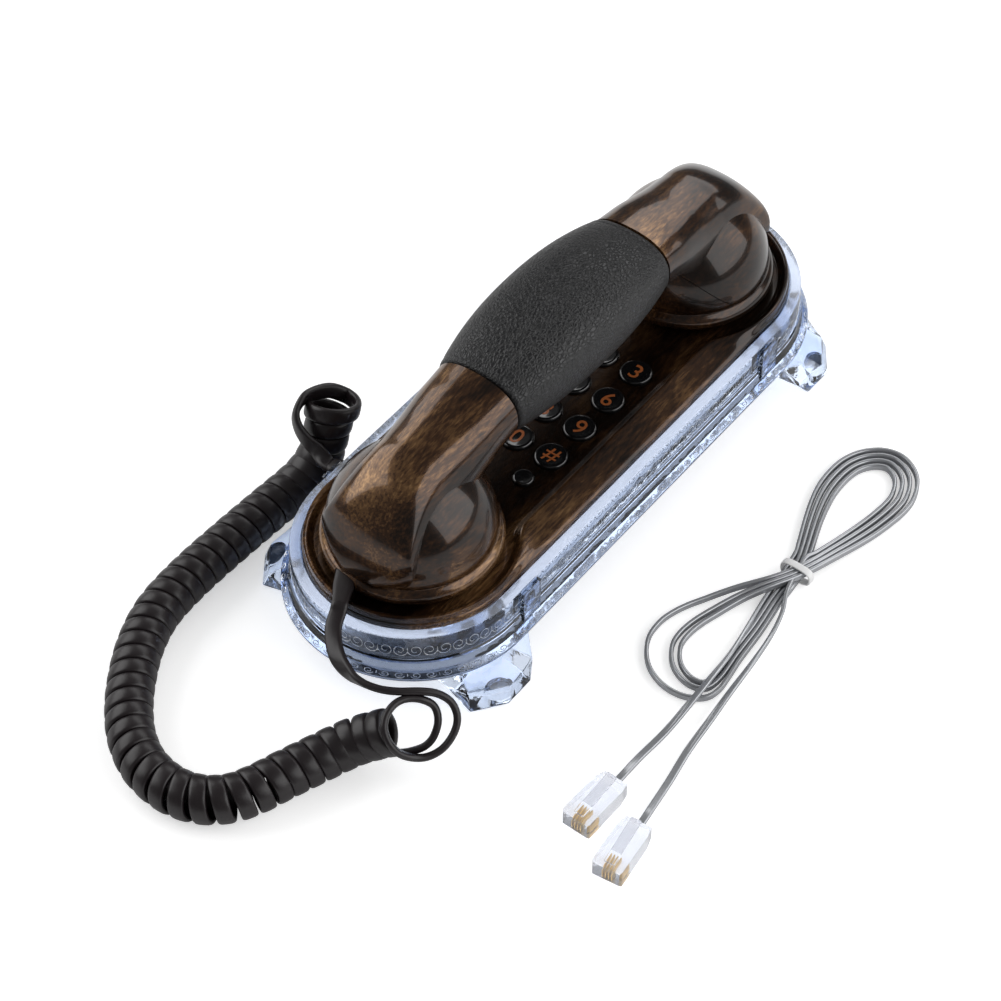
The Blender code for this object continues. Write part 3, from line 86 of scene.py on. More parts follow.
def add(tree, kind, inputs=None, stops=None, **settings):
    """Add a node with its settings, its inputs and the stops of a colour ramp, the two end stops first."""
    made = tree.nodes.new("ShaderNode" + kind)
    for name, value in settings.items():
        setattr(made, name, value)
    feed(tree, made, inputs or {})
    for i, (place, hex_colour) in enumerate(stops or ()):
        stop = made.color_ramp.elements[i] if i < 2 else made.color_ramp.elements.new(place)
        stop.position = place
        stop.color = linear(hex_colour)
    return made


def finish(name, hex_colour, roughness, **sockets):
    """A new material with one Principled shader; sockets are its constant values, named with underscores."""
    made = bpy.data.materials.new(name)
    made.use_nodes = True
    shader = made.node_tree.nodes["Principled BSDF"]
    shader.inputs["Base Color"].default_value = linear(hex_colour)
    shader.inputs["Roughness"].default_value = roughness
    for socket, value in sockets.items():
        shader.inputs[socket.replace("_", " ")].default_value = value
    return made, made.node_tree, shader


def seen_straight(tree):
    """The light path, and 1 for what the camera sees, straight or through clear plastic, or 0 for other rays."""
    path = add(tree, "LightPath")
    inside = add(tree, "Math", {0: path.outputs["Transmission Depth"], 1: 0.5}, operation="GREATER_THAN")
    return path, add(tree, "Math", {0: path.outputs["Is Camera Ray"], 1: inside}, operation="MAXIMUM")


# The table glows a little for the camera only, so that it reads white without lighting the phone.
table_top, tree, shader = finish("matt_white_table", "F2F2F2", 0.9)
lift = add(tree, "Math", {0: seen_straight(tree)[1], 1: 0.5}, operation="MULTIPLY")
feed(tree, shader, {"Emission Strength": lift, "Emission Color": linear("FFFFFF")})
floor_item = shape("table_top", [(-4, -4, -2e-5), (4, -4, -2e-5), (4, 4, -2e-5), (-4, 4, -2e-5)], [(0, 1, 2, 3)])
floor_item.data.materials.append(table_top)

surroundings = bpy.data.worlds.new("white_surroundings")
surroundings.use_nodes = True
tree = surroundings.node_tree
path, straight = seen_straight(tree)
level = add(tree, "MapRange", {"Value": straight, "To Min": 0.34, "To Max": 1.0})
dimmed = add(tree, "Math", {0: path.outputs["Is Glossy Ray"], 1: -0.2, 2: level}, operation="MULTIPLY_ADD")
feed(tree, tree.nodes["Background"], {"Strength": dimmed, "Color": linear("FFFFFF")})
bpy.context.scene.world = surroundings
bpy.context.scene.view_settings.view_transform = "Standard"


def softbox(name, place, aim, wide, high, watts):
    """A rectangular lamp that faces a point."""
    lamp = bpy.data.lights.new(name, "AREA")
    lamp.shape = "RECTANGLE"
    lamp.size, lamp.size_y, lamp.energy = wide, high, watts
    item = put(name, lamp)
    item.location = place
    item.rotation_euler = (Vector(place) - Vector(aim)).to_track_quat("Z", "Y").to_euler()


softbox("lamp_left", (-0.98, -0.25, 0.7), (0.0, 0.0, 0.03), 1.5, 1.0, 10.0)
softbox("lamp_right", (0.95, 0.35, 0.62), (0.0, 0.0, 0.03), 1.4, 1.0, 9.2)
softbox("lamp_back", (-0.15, 1.2, 0.95), (0.0, 0.0, 0.03), 1.4, 0.45, 4.5)

azimuth, elevation = math.radians(37.47), math.radians(48.92)
view_back = Vector((math.sin(azimuth) * math.cos(elevation), -math.cos(azimuth) * math.cos(elevation),
                    math.sin(elevation)))
view_right = Vector((math.cos(azimuth), math.sin(azimuth), 0.0))
view_up = view_back.cross(view_right)
aim = Vector((0.0, 0.0, 27.3 * MM)) - 16.5 * MM * view_right - 29.5 * MM * view_up
lens = bpy.data.cameras.new("camera")
lens.lens = 119.1
camera = put("camera", lens)
camera.matrix_world = (Matrix.Translation(aim + view_back * 1.019)
                       @ Matrix((view_right, view_up, view_back)).transposed().to_4x4())
bpy.context.scene.camera = camera


# -------------------- tray, board and what they carry
# Moulded black ABS tray, green circuit board, plated steel screws and spring, brass ringer disc,
# grey silicone key mat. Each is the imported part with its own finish.

def dress(made, *names):
    """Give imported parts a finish."""
    for item in (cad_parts[name] for name in names):
        if not item.material_slots:
            item.data.materials.append(made)
        for place in item.material_slots:
            place.material = made


def grained(name, hex_colour, roughness, size, depth, **sockets):
    """A new material roughened by noise, with grains of a real size, as bump of a real depth."""
    made, tree, shader = finish(name, hex_colour, roughness, **sockets)
    place = add(tree, "TexCoord").outputs["Object"]
    noise = add(tree, "TexNoise", {"Vector": place, "Scale": 1.0 / size, "Detail": 4.0})
    feed(tree, shader, {"Normal": add(tree, "Bump", {"Height": noise, "Distance": depth, "Strength": 1.0})})
    return made


# The ABS is satin from a spark-eroded mould, the metals are softly bright, and the silicone is dull.
abs_black = grained("moulded_black_abs", "17181A", 0.5, 0.5 * MM, 0.04 * MM)
zinc = grained("zinc_plated_steel", "A4A7AA", 0.34, 0.25 * MM, 0.01 * MM, Metallic=1.0)
brass = grained("rolled_brass", "B8985A", 0.32, 0.4 * MM, 0.01 * MM, Metallic=1.0)
silicone = grained("grey_silicone", "8C8F92", 0.62, 0.3 * MM, 0.02 * MM)
# Green solder mask with small bare pads about 2.6 mm apart.
laminate, tree, shader = finish("green_masked_laminate", "1E5A33", 0.35)
spots = add(tree, "TexVoronoi", {"Vector": add(tree, "TexCoord").outputs["Object"], "Scale": 0.38 / MM})
mask = add(tree, "ValToRGB", {"Fac": spots}, stops=((0.08, "B98A3C"), (0.16, "1E5A33")))
feed(tree, shader, {"Base Color": mask})
dress(abs_black, "bottom_cover", "hook_switch", "line_jack", "receiver_cap", "microphone_cap")
dress(laminate, "circuit_board")
dress(zinc, "base_screw_1", "base_screw_2", "base_screw_3", "base_screw_4", "hook_leaf_spring",
      "handset_screw_ear", "handset_screw_mouth", "handset_weight", "receiver_capsule")
dress(brass, "ringer_disc")
dress(silicone, "key_mat")


# -------------------- clear cradle
# One injection-moulded piece of pale blue clear polystyrene: rim, flared skirt and flange, and a
# ledge inside that carries the tray. Its walls are polished, its rim top lightly frosted.

END_Y = 69.5 * MM
COVER_R = 33.2 * MM
RIM_R = COVER_R + 3.8 * MM
CRADLE_Z, RIM_Z = 11 * MM, 27.3 * MM
FLANGE_R = RIM_R + 3.2 * MM
END_STEPS = 56


def rounded_ends(radius, half_width=None, side_steps=40):
    """Plan of the base as a closed row of points: straight or given sides joined by half circles at both ends."""
    y = -END_Y * np.cos(np.linspace(0.0, math.pi, side_steps + 1))
    wide = half_width(y) if half_width else np.full_like(y, radius)
    turn = np.linspace(0.0, math.pi, END_STEPS + 1)[1:-1]
    far = np.c_[radius * np.cos(turn), END_Y + radius * np.sin(turn)]
    return np.vstack([np.c_[wide, y], far, np.c_[-wide, -y], -far])


def skin(name, rows, ring=False, cap="point", sharp=35):
    """Join rows of points, each closed on itself, into one closed surface: the first and last rows meet in a
    ring, or end in a middle point or a flat face. Faces are turned outwards by the sign of the volume."""
    rows = np.asarray(rows, float)
    count, around = rows.shape[:2]
    index = np.arange(count * around).reshape(count, around)
    near, far = (index, np.roll(index, -1, axis=0)) if ring else (index[:-1], index[1:])
    quads = np.stack([near, np.roll(near, -1, 1), np.roll(far, -1, 1), far], axis=-1).reshape(-1, 4)
    points = rows.reshape(-1, 3)
    faces = quads.tolist()
    first, last = index[0], index[-1]
    if not ring and cap == "point":
        points = np.vstack([points, rows[0].mean(axis=0), rows[-1].mean(axis=0)])
        faces += np.c_[np.roll(first, -1), first, np.full(around, count * around)].tolist()
        faces += np.c_[last, np.roll(last, -1), np.full(around, count * around + 1)].tolist()
    if not ring and cap == "face":
        faces += [first[::-1].tolist(), last.tolist()]
    a, b, c, d = (points[quads[:, k]] - points.mean(axis=0) for k in range(4))
    if np.sum(np.cross(a, b) * c) + np.sum(np.cross(a, c) * d) < 0.0:
        faces = [face[::-1] for face in faces]
    return smooth(shape(name, points.tolist(), faces), sharp)


def raised(plan, z):
    """A plan row at a height."""
    return np.c_[plan, np.full(len(plan), z)]


def smooth(item, sharp=35):
    """Shade smooth, except at edges sharper than an angle."""
    item.data.shade_smooth()
    item.data.set_sharp_from_angle(angle=math.radians(sharp))
    return item


def carve(item, operation, *tools, sharp=35):
    """Join, cut or keep what is shared with closed tools, fix the result in the mesh and drop the tools."""
    for tool in tools:
        step = item.modifiers.new(operation.title(), "BOOLEAN")
        step.operation, step.solver, step.object = operation, "MANIFOLD", tool
    return settle_mesh(item, sharp, tools)


def shown_mesh(item):
    """A new mesh of what an object shows."""
    bpy.context.view_layer.update()
    return bpy.data.meshes.new_from_object(item.evaluated_get(bpy.context.evaluated_depsgraph_get()))


def settle_mesh(item, sharp=35, tools=()):
    """Fix an object's modifiers in its mesh."""
    made = shown_mesh(item)
    item.modifiers.clear()
    item.data = made
    for tool in tools:
        bpy.data.objects.remove(tool, do_unlink=True)
    return smooth(item, sharp)


def soften(item, width, segments=2, angle=30):
    """Round the edges sharper than an angle."""
    bevel = item.modifiers.new("Round", "BEVEL")
    bevel.width, bevel.segments, bevel.limit_method = width, segments, "ANGLE"
    bevel.angle_limit = math.radians(angle)
    return settle_mesh(item, 60)


def block(name, low, high):
    """A closed block between two corners."""
    (x0, y0, z0), (x1, y1, z1) = low, high
    ring = np.array([(x0, y0), (x1, y0), (x1, y1), (x0, y1)])
    return skin(name, [raised(ring, z) for z in (z0, z1)], cap="face", sharp=20)


def circle(steps):
    """Even angles once round."""
    return np.linspace(0.0, 2 * math.pi, steps, endpoint=False)


def turned(profile, centre, steps):
    """Rows of a profile of (radius, height) turned about an upright axis."""
    turn = circle(steps)
    profile = np.asarray(profile, float)
    radius, height = profile[:, 0, None], profile[:, 1, None]
    flat = [centre[0] + radius * np.cos(turn), centre[1] + radius * np.sin(turn), centre[2] + height + 0 * turn]
    return np.stack(flat, axis=-1)


def peg(radius, low, high, centre, steps):
    """A closed upright cylinder between two heights over a point."""
    return skin("peg", turned([(radius, low), (radius, high)], centre, steps), cap="face")


def fit(item, made, body, *nodes):
    """Give a finished piece its material and its body, if any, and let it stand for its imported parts."""
    item.data.materials.clear()
    item.data.materials.append(made)
    item.data.polygons.foreach_set("material_index", np.zeros(len(item.data.polygons), np.int32))
    if body:
        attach(item, body)
    if nodes:
        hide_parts(*nodes)
    return item


def let_lamps_through(made, share):
    """Clear plastic throws a faint shadow: lamps' rays pass it as through a tinted film."""
    tree = made.node_tree
    shader, output = tree.nodes["Principled BSDF"], tree.nodes["Material Output"]
    film = add(tree, "BsdfTransparent", {"Color": linear("DCE8F6")})
    shadow = add(tree, "Math", {0: add(tree, "LightPath").outputs["Is Shadow Ray"], 1: share}, operation="MULTIPLY")
    feed(tree, output, {"Surface": add(tree, "MixShader", {0: shadow, 1: shader, 2: film})})


# Polished inside and out, so it glints and shows what lies behind. The pale blue tint follows the height with painted
# light:
# the flange and wall bands are darkened with painted shade where the dark tray shows through, and the rim's top is near
# white, partly for its frosting and partly as a painted highlight. Slow waves of the melt's flow bend the glints.
styrene, tree, shader = finish("clear_blue_polystyrene", "D3E2F8", 0.06, Transmission_Weight=1.0, IOR=1.52)
place = add(tree, "TexCoord").outputs["Object"]
height = add(tree, "SeparateXYZ", {0: place}).outputs["Z"]
share = add(tree, "MapRange", {"Value": height, "From Max": 30 * MM})
# Painted shade and highlight: darker bands on the flange and wall, near white on the rim's top.
tint_and_painted_shade = add(tree, "ValToRGB", {"Fac": share}, stops=((0.37, "8D9CB9"), (0.9, "F2F6FF"), (0.455, "7F8FAF"),
                                                    (0.49, "C6D0E0"), (0.58, "B6C1D3"), (0.61, "97A4BA"),
                                                    (0.86, "97A4BA")))
top = add(tree, "MapRange", {"Value": height, "From Min": 27 * MM, "From Max": 27.2 * MM}, clamp=True)
rough = add(tree, "MapRange", {"Value": top, "To Min": 0.05, "To Max": 0.24})
clear = add(tree, "MapRange", {"Value": top, "To Min": 1.0, "To Max": 0.8})
flow = add(tree, "TexNoise", {"Vector": place, "Scale": 0.075 / MM, "Detail": 3.0})
bump = add(tree, "Bump", {"Height": flow, "Distance": 0.5 * MM, "Strength": 0.6})
feed(tree, shader, {"Base Color": tint_and_painted_shade, "Roughness": rough, "Transmission Weight": clear, "Normal": bump})
let_lamps_through(styrene, 0.85)

wall_foot = RIM_Z - 9.5 * MM
# The rim's section, each stretch as steps in mm from a radius and a height.
CRADLE_STRETCHES = (
    (FLANGE_R, CRADLE_Z, ((-0.4, 0.0), (-0.1, 0.1), (0.0, 0.4), (0.0, 1.2), (-0.2, 1.45))),
    (RIM_R, CRADLE_Z, ((1.5, 2.6), (1.3, 2.8))),
    (RIM_R, wall_foot, ((0.6, -0.6), (0.1, -0.1), (0.0, 0.3))),
    (RIM_R, RIM_Z, ((0.0, -0.5), (-0.15, -0.15), (-0.5, 0.0))),
    (COVER_R, RIM_Z, ((0.6, 0.0), (0.3, -0.3))),
    (COVER_R, CRADLE_Z, ((0.3, 2.4), (-8.5, 2.4), (-8.5, 0.0))),
)
cradle = skin("clear_cradle_rim", [raised(rounded_ends(r + out * MM), z + up * MM)
                                   for r, z, steps in CRADLE_STRETCHES for out, up in steps], ring=True, sharp=25)
jack_half, jack_z = 6.5 * MM, 16.2 * MM
relief_y, relief_z = -57 * MM, 21.2 * MM
jack_window = ((-jack_half, END_Y, jack_z - 0.3 * MM), (jack_half, END_Y + 2 * RIM_R, jack_z + 9.7 * MM))
cord_window = ((-RIM_R - 5 * MM, relief_y - 2.9 * MM, relief_z - 1.8 * MM),
               (-COVER_R + 4.4 * MM, relief_y + 2.9 * MM, relief_z + 1.8 * MM))
carve(cradle, "DIFFERENCE", block("window", *jack_window), block("window", *cord_window), sharp=25)
fit(cradle, styrene, "base", "clear_cradle")


# -------------------- scroll bands
# Scrolls raised on the cradle's wall and flange by the mould: paired curls with a short bar between
# pairs, a common border ornament. Their faces are frosted, so they read as pale lines.

scroll_line = grained("frosted_polystyrene", "C6D1E2", 0.35, 0.3 * MM, 0.02 * MM, Transmission_Weight=0.75, IOR=1.52)


def stroke_rows(lines, radius, around=5):
    """Thin round strokes along many lines at once: rings square to each line, as an array of lines by rings."""
    ahead = np.gradient(lines, axis=1)
    ahead /= np.linalg.norm(ahead, axis=2, keepdims=True)
    side = np.cross(ahead, (0.0, 0.0, 1.0)) + 1e-9
    side /= np.linalg.norm(side, axis=2, keepdims=True)
    other = np.cross(ahead, side)
    turn = circle(around)[:, None]
    return lines[:, :, None] + radius * (np.cos(turn) * side[:, :, None] + np.sin(turn) * other[:, :, None])


def many(name, blocks):
    """One mesh of many strokes, each a run of rings closed by flat ends."""
    lines, rings, around = blocks.shape[:3]
    index = np.arange(lines * rings * around).reshape(lines, rings, around)
    near, far = index[:, :-1], index[:, 1:]
    quads = np.stack([near, far, np.roll(far, -1, 2), np.roll(near, -1, 2)], axis=-1).reshape(-1, 4).tolist()
    ends = index[:, 0].tolist() + index[:, -1, ::-1].tolist()
    return smooth(shape(name, blocks.reshape(-1, 3).tolist(), quads + ends), 60)


def on_wall(along, low_out, low_z, high_out, high_z, share):
    """Points on a band round the base: along is the way round in metres, and share runs from the band's low
    edge to its high edge."""
    out, z = low_out + (high_out - low_out) * share, low_z + (high_z - low_z) * share
    side, half = 2 * END_Y, math.pi * RIM_R
    lap = np.mod(along, 2 * (side + half))
    second = lap >= side + half
    lap = np.where(second, lap - side - half, lap)
    turn = np.clip((lap - side) / RIM_R, 0.0, math.pi)
    x = out * np.cos(turn)
    y = np.where(lap < side, lap - END_Y, END_Y + out * np.sin(turn))
    sign = np.where(second, -1.0, 1.0)
    return np.stack([sign * x, sign * y, z + 0.0 * x], axis=-1)


PAIR_COUNT, STROKE_RINGS = 58, 26
pitch = (4 * END_Y + 2 * math.pi * RIM_R) / PAIR_COUNT
curl_turn = 2 * math.pi * np.linspace(-0.45, 0.85, STROKE_RINGS)
curl_size = 0.5 * (1.0 - 0.72 * np.linspace(0.0, 1.0, STROKE_RINGS))
curl = np.c_[curl_size * np.cos(curl_turn), curl_size * np.sin(curl_turn)]


def scroll_band(name, low, high, tall, stroke):
    """A border between two edges, each given as (outside radius, height): spirals that shrink evenly as they
    turn, mirrored in pairs, and a short bar between pairs."""
    middles = (np.arange(PAIR_COUNT)[:, None] + 0.5) * pitch
    curls = [on_wall(middles + mirror * 0.24 * pitch - mirror * curl[None, :, 0] * tall, *low, *high,
                     0.5 + curl[None, :, 1] * 0.9) for mirror in (-1, 1)]
    bar = np.linspace(0.3, 0.7, STROKE_RINGS)[None]
    bars = on_wall(middles + 0.5 * pitch + 0 * bar, *low, *high, bar)
    fit(many(name, stroke_rows(np.concatenate([*curls, bars]), stroke)), scroll_line, "base")


scroll_band("wall_scrolls", (RIM_R, wall_foot + 0.9 * MM), (RIM_R, RIM_Z - 2.6 * MM), 4.6 * MM, 0.1 * MM)
scroll_band("flange_scrolls", (FLANGE_R - 0.1 * MM, CRADLE_Z + 1.35 * MM), (RIM_R + 1.5 * MM, CRADLE_Z + 2.55 * MM),
            3 * MM, 0.14 * MM)


# -------------------- feet and corner blocks
# Four splayed clear feet with moulded flats and softened edges, a dark rubber pad let into each, and
# above them the plain polished blocks that join the cradle's straight sides to its ends.

# The flats are polished and a little wavy, so they break up what shows through. The rubber is dull.
facets = grained("polished_blue_polystyrene", "DFEBFF", 0.02, 6 * MM, 0.1 * MM, Transmission_Weight=1.0, IOR=1.55)
let_lamps_through(facets, 0.85)
rubber = grained("dark_rubber", "3A3E44", 0.78, 0.4 * MM, 0.05 * MM)
# Outlines of a foot at three heights in mm, as offsets from its pad, outwards and away from the end.
FOOT_LEVELS = (
    (0.8, ((5.5, 9.3), (5.5, -1.7), (-1.5, -11.2), (-11.5, -8.2), (-11.0, -1.0), (-7.0, 8.5))),
    (5.75, ((3.3, 13.2), (4.4, 0.8), (-3.2, -10.0), (-12.6, -10.4), (-13.2, -3.0), (-9.0, 10.5))),
    (10.7, ((-2.3, 18.4), (-2.2, 5.0), (-7.0, -7.0), (-14.6, -13.4), (-17.0, -5.0), (-12.5, 12.5))),
)
PAD_PROFILE = np.array([(3.5, 0.0), (3.8, 0.1), (3.9, 0.35), (3.9, 1.5), (3.7, 1.7)]) * MM
for end_name, end in (("ear", 1), ("mouth", -1)):
    for side_name, side in (("right", 1), ("left", -1)):
        middle = (side * 41.5 * MM, end * 82.8 * MM, 0.0)
        rows = [[(middle[0] + side * x * MM, middle[1] - end * y * MM, z * MM) for x, y in ring]
                for z, ring in FOOT_LEVELS]
        foot = soften(skin(f"foot_{end_name}_{side_name}_clear", rows, cap="face", sharp=15), 0.5 * MM, 3, 12)
        carve(foot, "DIFFERENCE", peg(4.2 * MM, -1 * MM, 2 * MM, middle, 40), sharp=25)
        fit(foot, facets, "base", f"foot_{end_name}_{side_name}")
        near, far = sorted((end * 57.5 * MM, end * 66 * MM))
        low, high = sorted((side * (RIM_R - 0.6 * MM), side * (RIM_R + 1.5 * MM)))
        corner = block(f"corner_block_{end_name}_{side_name}", (low, near, CRADLE_Z + 2.9 * MM),
                       (high, far, RIM_Z - 0.4 * MM))
        fit(soften(corner, 0.5 * MM, 3, 12), facets, "base")
        pad = skin(f"foot_pad_{end_name}_{side_name}_turned", turned(PAD_PROFILE, middle, 40))
        fit(pad, rubber, "base", f"foot_pad_{end_name}_{side_name}")


# -------------------- wood-grain cover
# Moulded ABS, water-transfer printed with dark burl walnut and lacquered. Its shoulders rise to a
# crest that sweeps out round both seats, and the sunk panel between them is holed for the keys.

# Clear lacquer gives the sharp highlights, and the partly metallic print under it the golden sheen. The
# print is soft clouds of tone, drawn out streaks across them, and fibres under a millimetre wide.
walnut, tree, shader = finish("lacquered_burl_print", "3A2414", 0.22, Metallic=0.55, Coat_Weight=0.45,
                              Coat_Roughness=0.03)
place = add(tree, "TexCoord").outputs["Object"]
bend = add(tree, "TexNoise", {"Vector": place, "Scale": 0.018 / MM, "Detail": 2.0}).outputs["Color"]
sway = add(tree, "VectorMath", {0: bend, "Scale": 35 * MM}, operation="SCALE")
swayed = add(tree, "VectorMath", {0: place, 1: sway}, operation="ADD")
layers = []
for way, turn, stretch, fineness, detail, rough in ((swayed, (0.0, 0.0, 0.0), 0.45, 0.038, 3.0, 0.5),
                                                    (swayed, (0.0, 0.0, 0.35), 0.12, 0.33, 3.0, 0.55),
                                                    (place, (0.3, 0.2, 0.25), 0.17, 1.3, 2.0, 0.6)):
    drawn = add(tree, "Mapping", {"Vector": way, "Rotation": turn, "Scale": (1.0, stretch, 1.0)})
    layers.append(add(tree, "TexNoise", {"Vector": drawn, "Scale": fineness / MM, "Detail": detail,
                                         "Roughness": rough}))
cloud, lines, fibre = layers
mixed = add(tree, "Math", {0: lines, 1: 0.25, 2: cloud}, operation="MULTIPLY_ADD")
mixed = add(tree, "Math", {0: fibre, 1: 0.5, 2: mixed}, operation="MULTIPLY_ADD")
share = add(tree, "MapRange", {"Value": mixed, "From Min": 0.6, "From Max": 1.16})
tone = add(tree, "ValToRGB", {"Fac": share}, stops=((0.0, "0D0805"), (1.0, "9C7851"), (0.3, "22150D"),
                                                    (0.52, "432B19"), (0.76, "6C4E31")))
# Painted shade: on the sunk panel between the seats the print is darkened to nearly black, standing in for the
# handset's shade and its dark reflection in the gloss.
across = add(tree, "SeparateXYZ", {0: place})
beside = add(tree, "MapRange", {"Value": add(tree, "Math", {0: across}, operation="ABSOLUTE"),
                                "From Min": 15 * MM, "From Max": 24 * MM}, interpolation_type="SMOOTHSTEP")
above = add(tree, "MapRange", {"Value": across.outputs["Z"], "From Min": 28.9 * MM, "From Max": 29.6 * MM})
bare = add(tree, "Math", {0: beside, 1: above}, operation="MAXIMUM")
painted_panel_shade = add(tree, "MapRange", {"Value": bare, "To Min": 0.28, "To Max": 1.0})
feed(tree, shader, {"Base Color": add(tree, "VectorMath", {0: tone, "Scale": painted_panel_shade}, operation="SCALE")})

COVER_Z, PANEL_Z, CREST_Z = 19.3 * MM, 28.7 * MM, 31.1 * MM
CREST_X, CREST_SWEEP, COVER_STEPS = 24.2 * MM, 10 * MM, 72


def crest_outline(inset):
    """The crest in plan: narrow along the keys, swept by a fillet into a circle round each seat."""
    waist, seat = CREST_X - inset, COVER_R - 0.8 * MM - inset
    reach = math.sqrt((seat + CREST_SWEEP) ** 2 - (waist + CREST_SWEEP) ** 2)
    meet = reach * seat / (seat + CREST_SWEEP)

    def half_width(y):
        inner = END_Y - np.abs(y)
        round_part = np.sqrt(np.clip(seat ** 2 - inner ** 2, 0.0, None))
        sweep_part = waist + CREST_SWEEP - np.sqrt(np.clip(CREST_SWEEP ** 2 - (reach - inner) ** 2, 0.0, None))
        return np.where(inner <= meet, round_part, np.where(inner >= reach, waist, sweep_part))

    return rounded_ends(seat, half_width, COVER_STEPS)


def cover_outline(inset):
    """The cover in plan."""
    return rounded_ends(COVER_R - inset, side_steps=COVER_STEPS)


# The cover's rows in order: up the side, over the shoulder, round the crest and down to the panel.
edge, top = cover_outline(0.35 * MM), crest_outline(-0.3 * MM)
outer_rows = [raised(cover_outline(0.0), COVER_Z), raised(cover_outline(0.0), PANEL_Z - 0.3 * MM),
              raised(cover_outline(0.1 * MM), PANEL_Z + 0.05 * MM), raised(edge, PANEL_Z + 0.3 * MM)]
outer_rows += [raised(edge + (top - edge) * share, PANEL_Z + 0.3 * MM + 2 * MM * rise)
               for share, rise in ((0.2, 0.27), (0.45, 0.58), (0.66, 0.81), (0.85, 0.95))]
outer_rows += [raised(top, CREST_Z - 0.05 * MM)]
outer_rows += [raised(crest_outline(inset * MM), z + up * MM) for inset, z, up in (
    (0.2, CREST_Z, 0.0), (0.7, CREST_Z, -0.15), (1.2, CREST_Z, -0.55),
    (2.3, PANEL_Z, 0.35), (2.9, PANEL_Z, 0.05), (3.4, PANEL_Z, 0.0))]
cover = skin("wood_grain_cover", outer_rows, cap="face", sharp=40)
hollow = skin("hollow", [raised(cover_outline(2.2 * MM), z) for z in (COVER_Z - MM, PANEL_Z - 2.2 * MM)], cap="face")
# Twelve keys on a grid across and along the panel, and two small ones beside the last row's ends.
KEY_NAMES = (("1", "2", "3"), ("4", "5", "6"), ("7", "8", "9"), ("star", "0", "hash"))
KEY_ACROSS, KEY_ALONG, KEY_FIRST_Y, KEY_R, SMALL_KEY_R = 13 * MM, 14.6, 24.9, 5.1 * MM, 3.2 * MM
keys = [(name, (column - 1) * KEY_ACROSS, (KEY_FIRST_Y - KEY_ALONG * row) * MM, KEY_R)
        for row, names in enumerate(KEY_NAMES) for column, name in enumerate(names)]
keys += [("redial", 11.6 * MM, -30.9 * MM, SMALL_KEY_R), ("flash", -11.6 * MM, -30.9 * MM, SMALL_KEY_R)]
holes = [peg(r + 0.3 * MM, -4 * MM, 0.5 * MM, (x, y, PANEL_Z), 48) for _, x, y, r in keys]
hook_hole = block("hook_hole", (-2.6 * MM, 56.9 * MM, PANEL_Z - 4 * MM), (2.6 * MM, 66.1 * MM, PANEL_Z + MM))
notch = block("notch", (cord_window[0][0], cord_window[0][1], COVER_Z - MM), cord_window[1])
carve(cover, "DIFFERENCE", hollow, *holes, hook_hole, block("window", *jack_window), notch, sharp=40)
fit(cover, walnut, "base", "top_cover")


# -------------------- keys and hook plunger
# Gloss black moulded keys with dished tops and rounded rims, the digits let in orange brown, and
# the plunger that the handset holds down.

# A clear wet gloss over black, a little wavy from the mould; the filling paint is satin.
key_black = grained("gloss_black_abs", "0B0B0C", 0.12, 1.5 * MM, 0.004 * MM, Coat_Weight=0.6, Coat_Roughness=0.03)
digit_paint = grained("orange_brown_filling", "7E4420", 0.3, 0.4 * MM, 0.01 * MM)
dress(key_black, "hook_plunger")
KEY_SIGNS = {"star": "*", "hash": "#", "redial": "", "flash": ""}
RIM_ROUND = 0.55 * MM


def dish(r, radius):
    """Height of a key's top over the panel at a distance from its middle: a shallow bowl."""
    return 1 * MM - 0.35 * MM * (1.0 - np.clip(r / (0.82 * radius), 0.0, 1.0) ** 2)


for label, x, y, radius in keys:
    bowl = [(r, dish(r, radius)) for r in radius * np.array([0.04, 0.2, 0.4, 0.55, 0.7, 0.82])]
    rim = [(radius - RIM_ROUND + RIM_ROUND * math.sin(a), 0.45 * MM + RIM_ROUND * math.cos(a))
           for a in np.radians([-10, 20, 45, 70, 90])]
    foot = [(radius, -2.5 * MM), (radius + 0.9 * MM, -2.5 * MM), (radius + 0.9 * MM, -3.7 * MM), (0.3 * MM, -3.7 * MM)]
    key = skin(f"key_{label}_moulded", turned(bowl + rim + foot, (x, y, PANEL_Z), 56), sharp=50)
    fit(key, key_black, f"key_{label}_cap", f"key_{label}")
    sign = KEY_SIGNS.get(label, label)
    if not sign:
        continue
    text = bpy.data.curves.new(f"digit_{label}", "FONT")
    text.body, text.size, text.extrude, text.offset = sign, 8 * MM, 0.05 * MM, 0.05 * MM
    guide = put("guide", text)
    mesh = shown_mesh(guide)
    bpy.data.objects.remove(guide, do_unlink=True)
    points = np.array([v.co for v in mesh.vertices])
    points -= (points.max(axis=0) + points.min(axis=0)) / 2
    rise = points[:, 2] + 0.02 * MM
    points[:, 2] = PANEL_Z + dish(np.hypot(points[:, 0], points[:, 1]), radius) + rise
    points[:, :2] += (x, y)
    mesh.vertices.foreach_set("co", points.ravel())
    fit(put(f"digit_{label}", mesh), digit_paint, f"key_{label}_cap")


# -------------------- handset shells
# Two lacquered walnut-print mouldings joined along the seam: a turned cup and cheek at each end, and
# a handle whose oval section swells into a hood over each cup.

SEAM_Z, CUP_Z = 36.5 * MM, 29 * MM
SHELL_T = 2.2 * MM
DOME_Y = 70 * MM
SEAM_R, CUP_R, CUP_H = 25.9 * MM, 27.7 * MM, 7.5 * MM
GRIP_HALF = 37.6 * MM
SCREW_Y, SCREW_Z = 44.5 * MM, 53 * MM
INWARDS = np.array([-1, -1, 1])  # how a section's half width, top and bottom go inwards


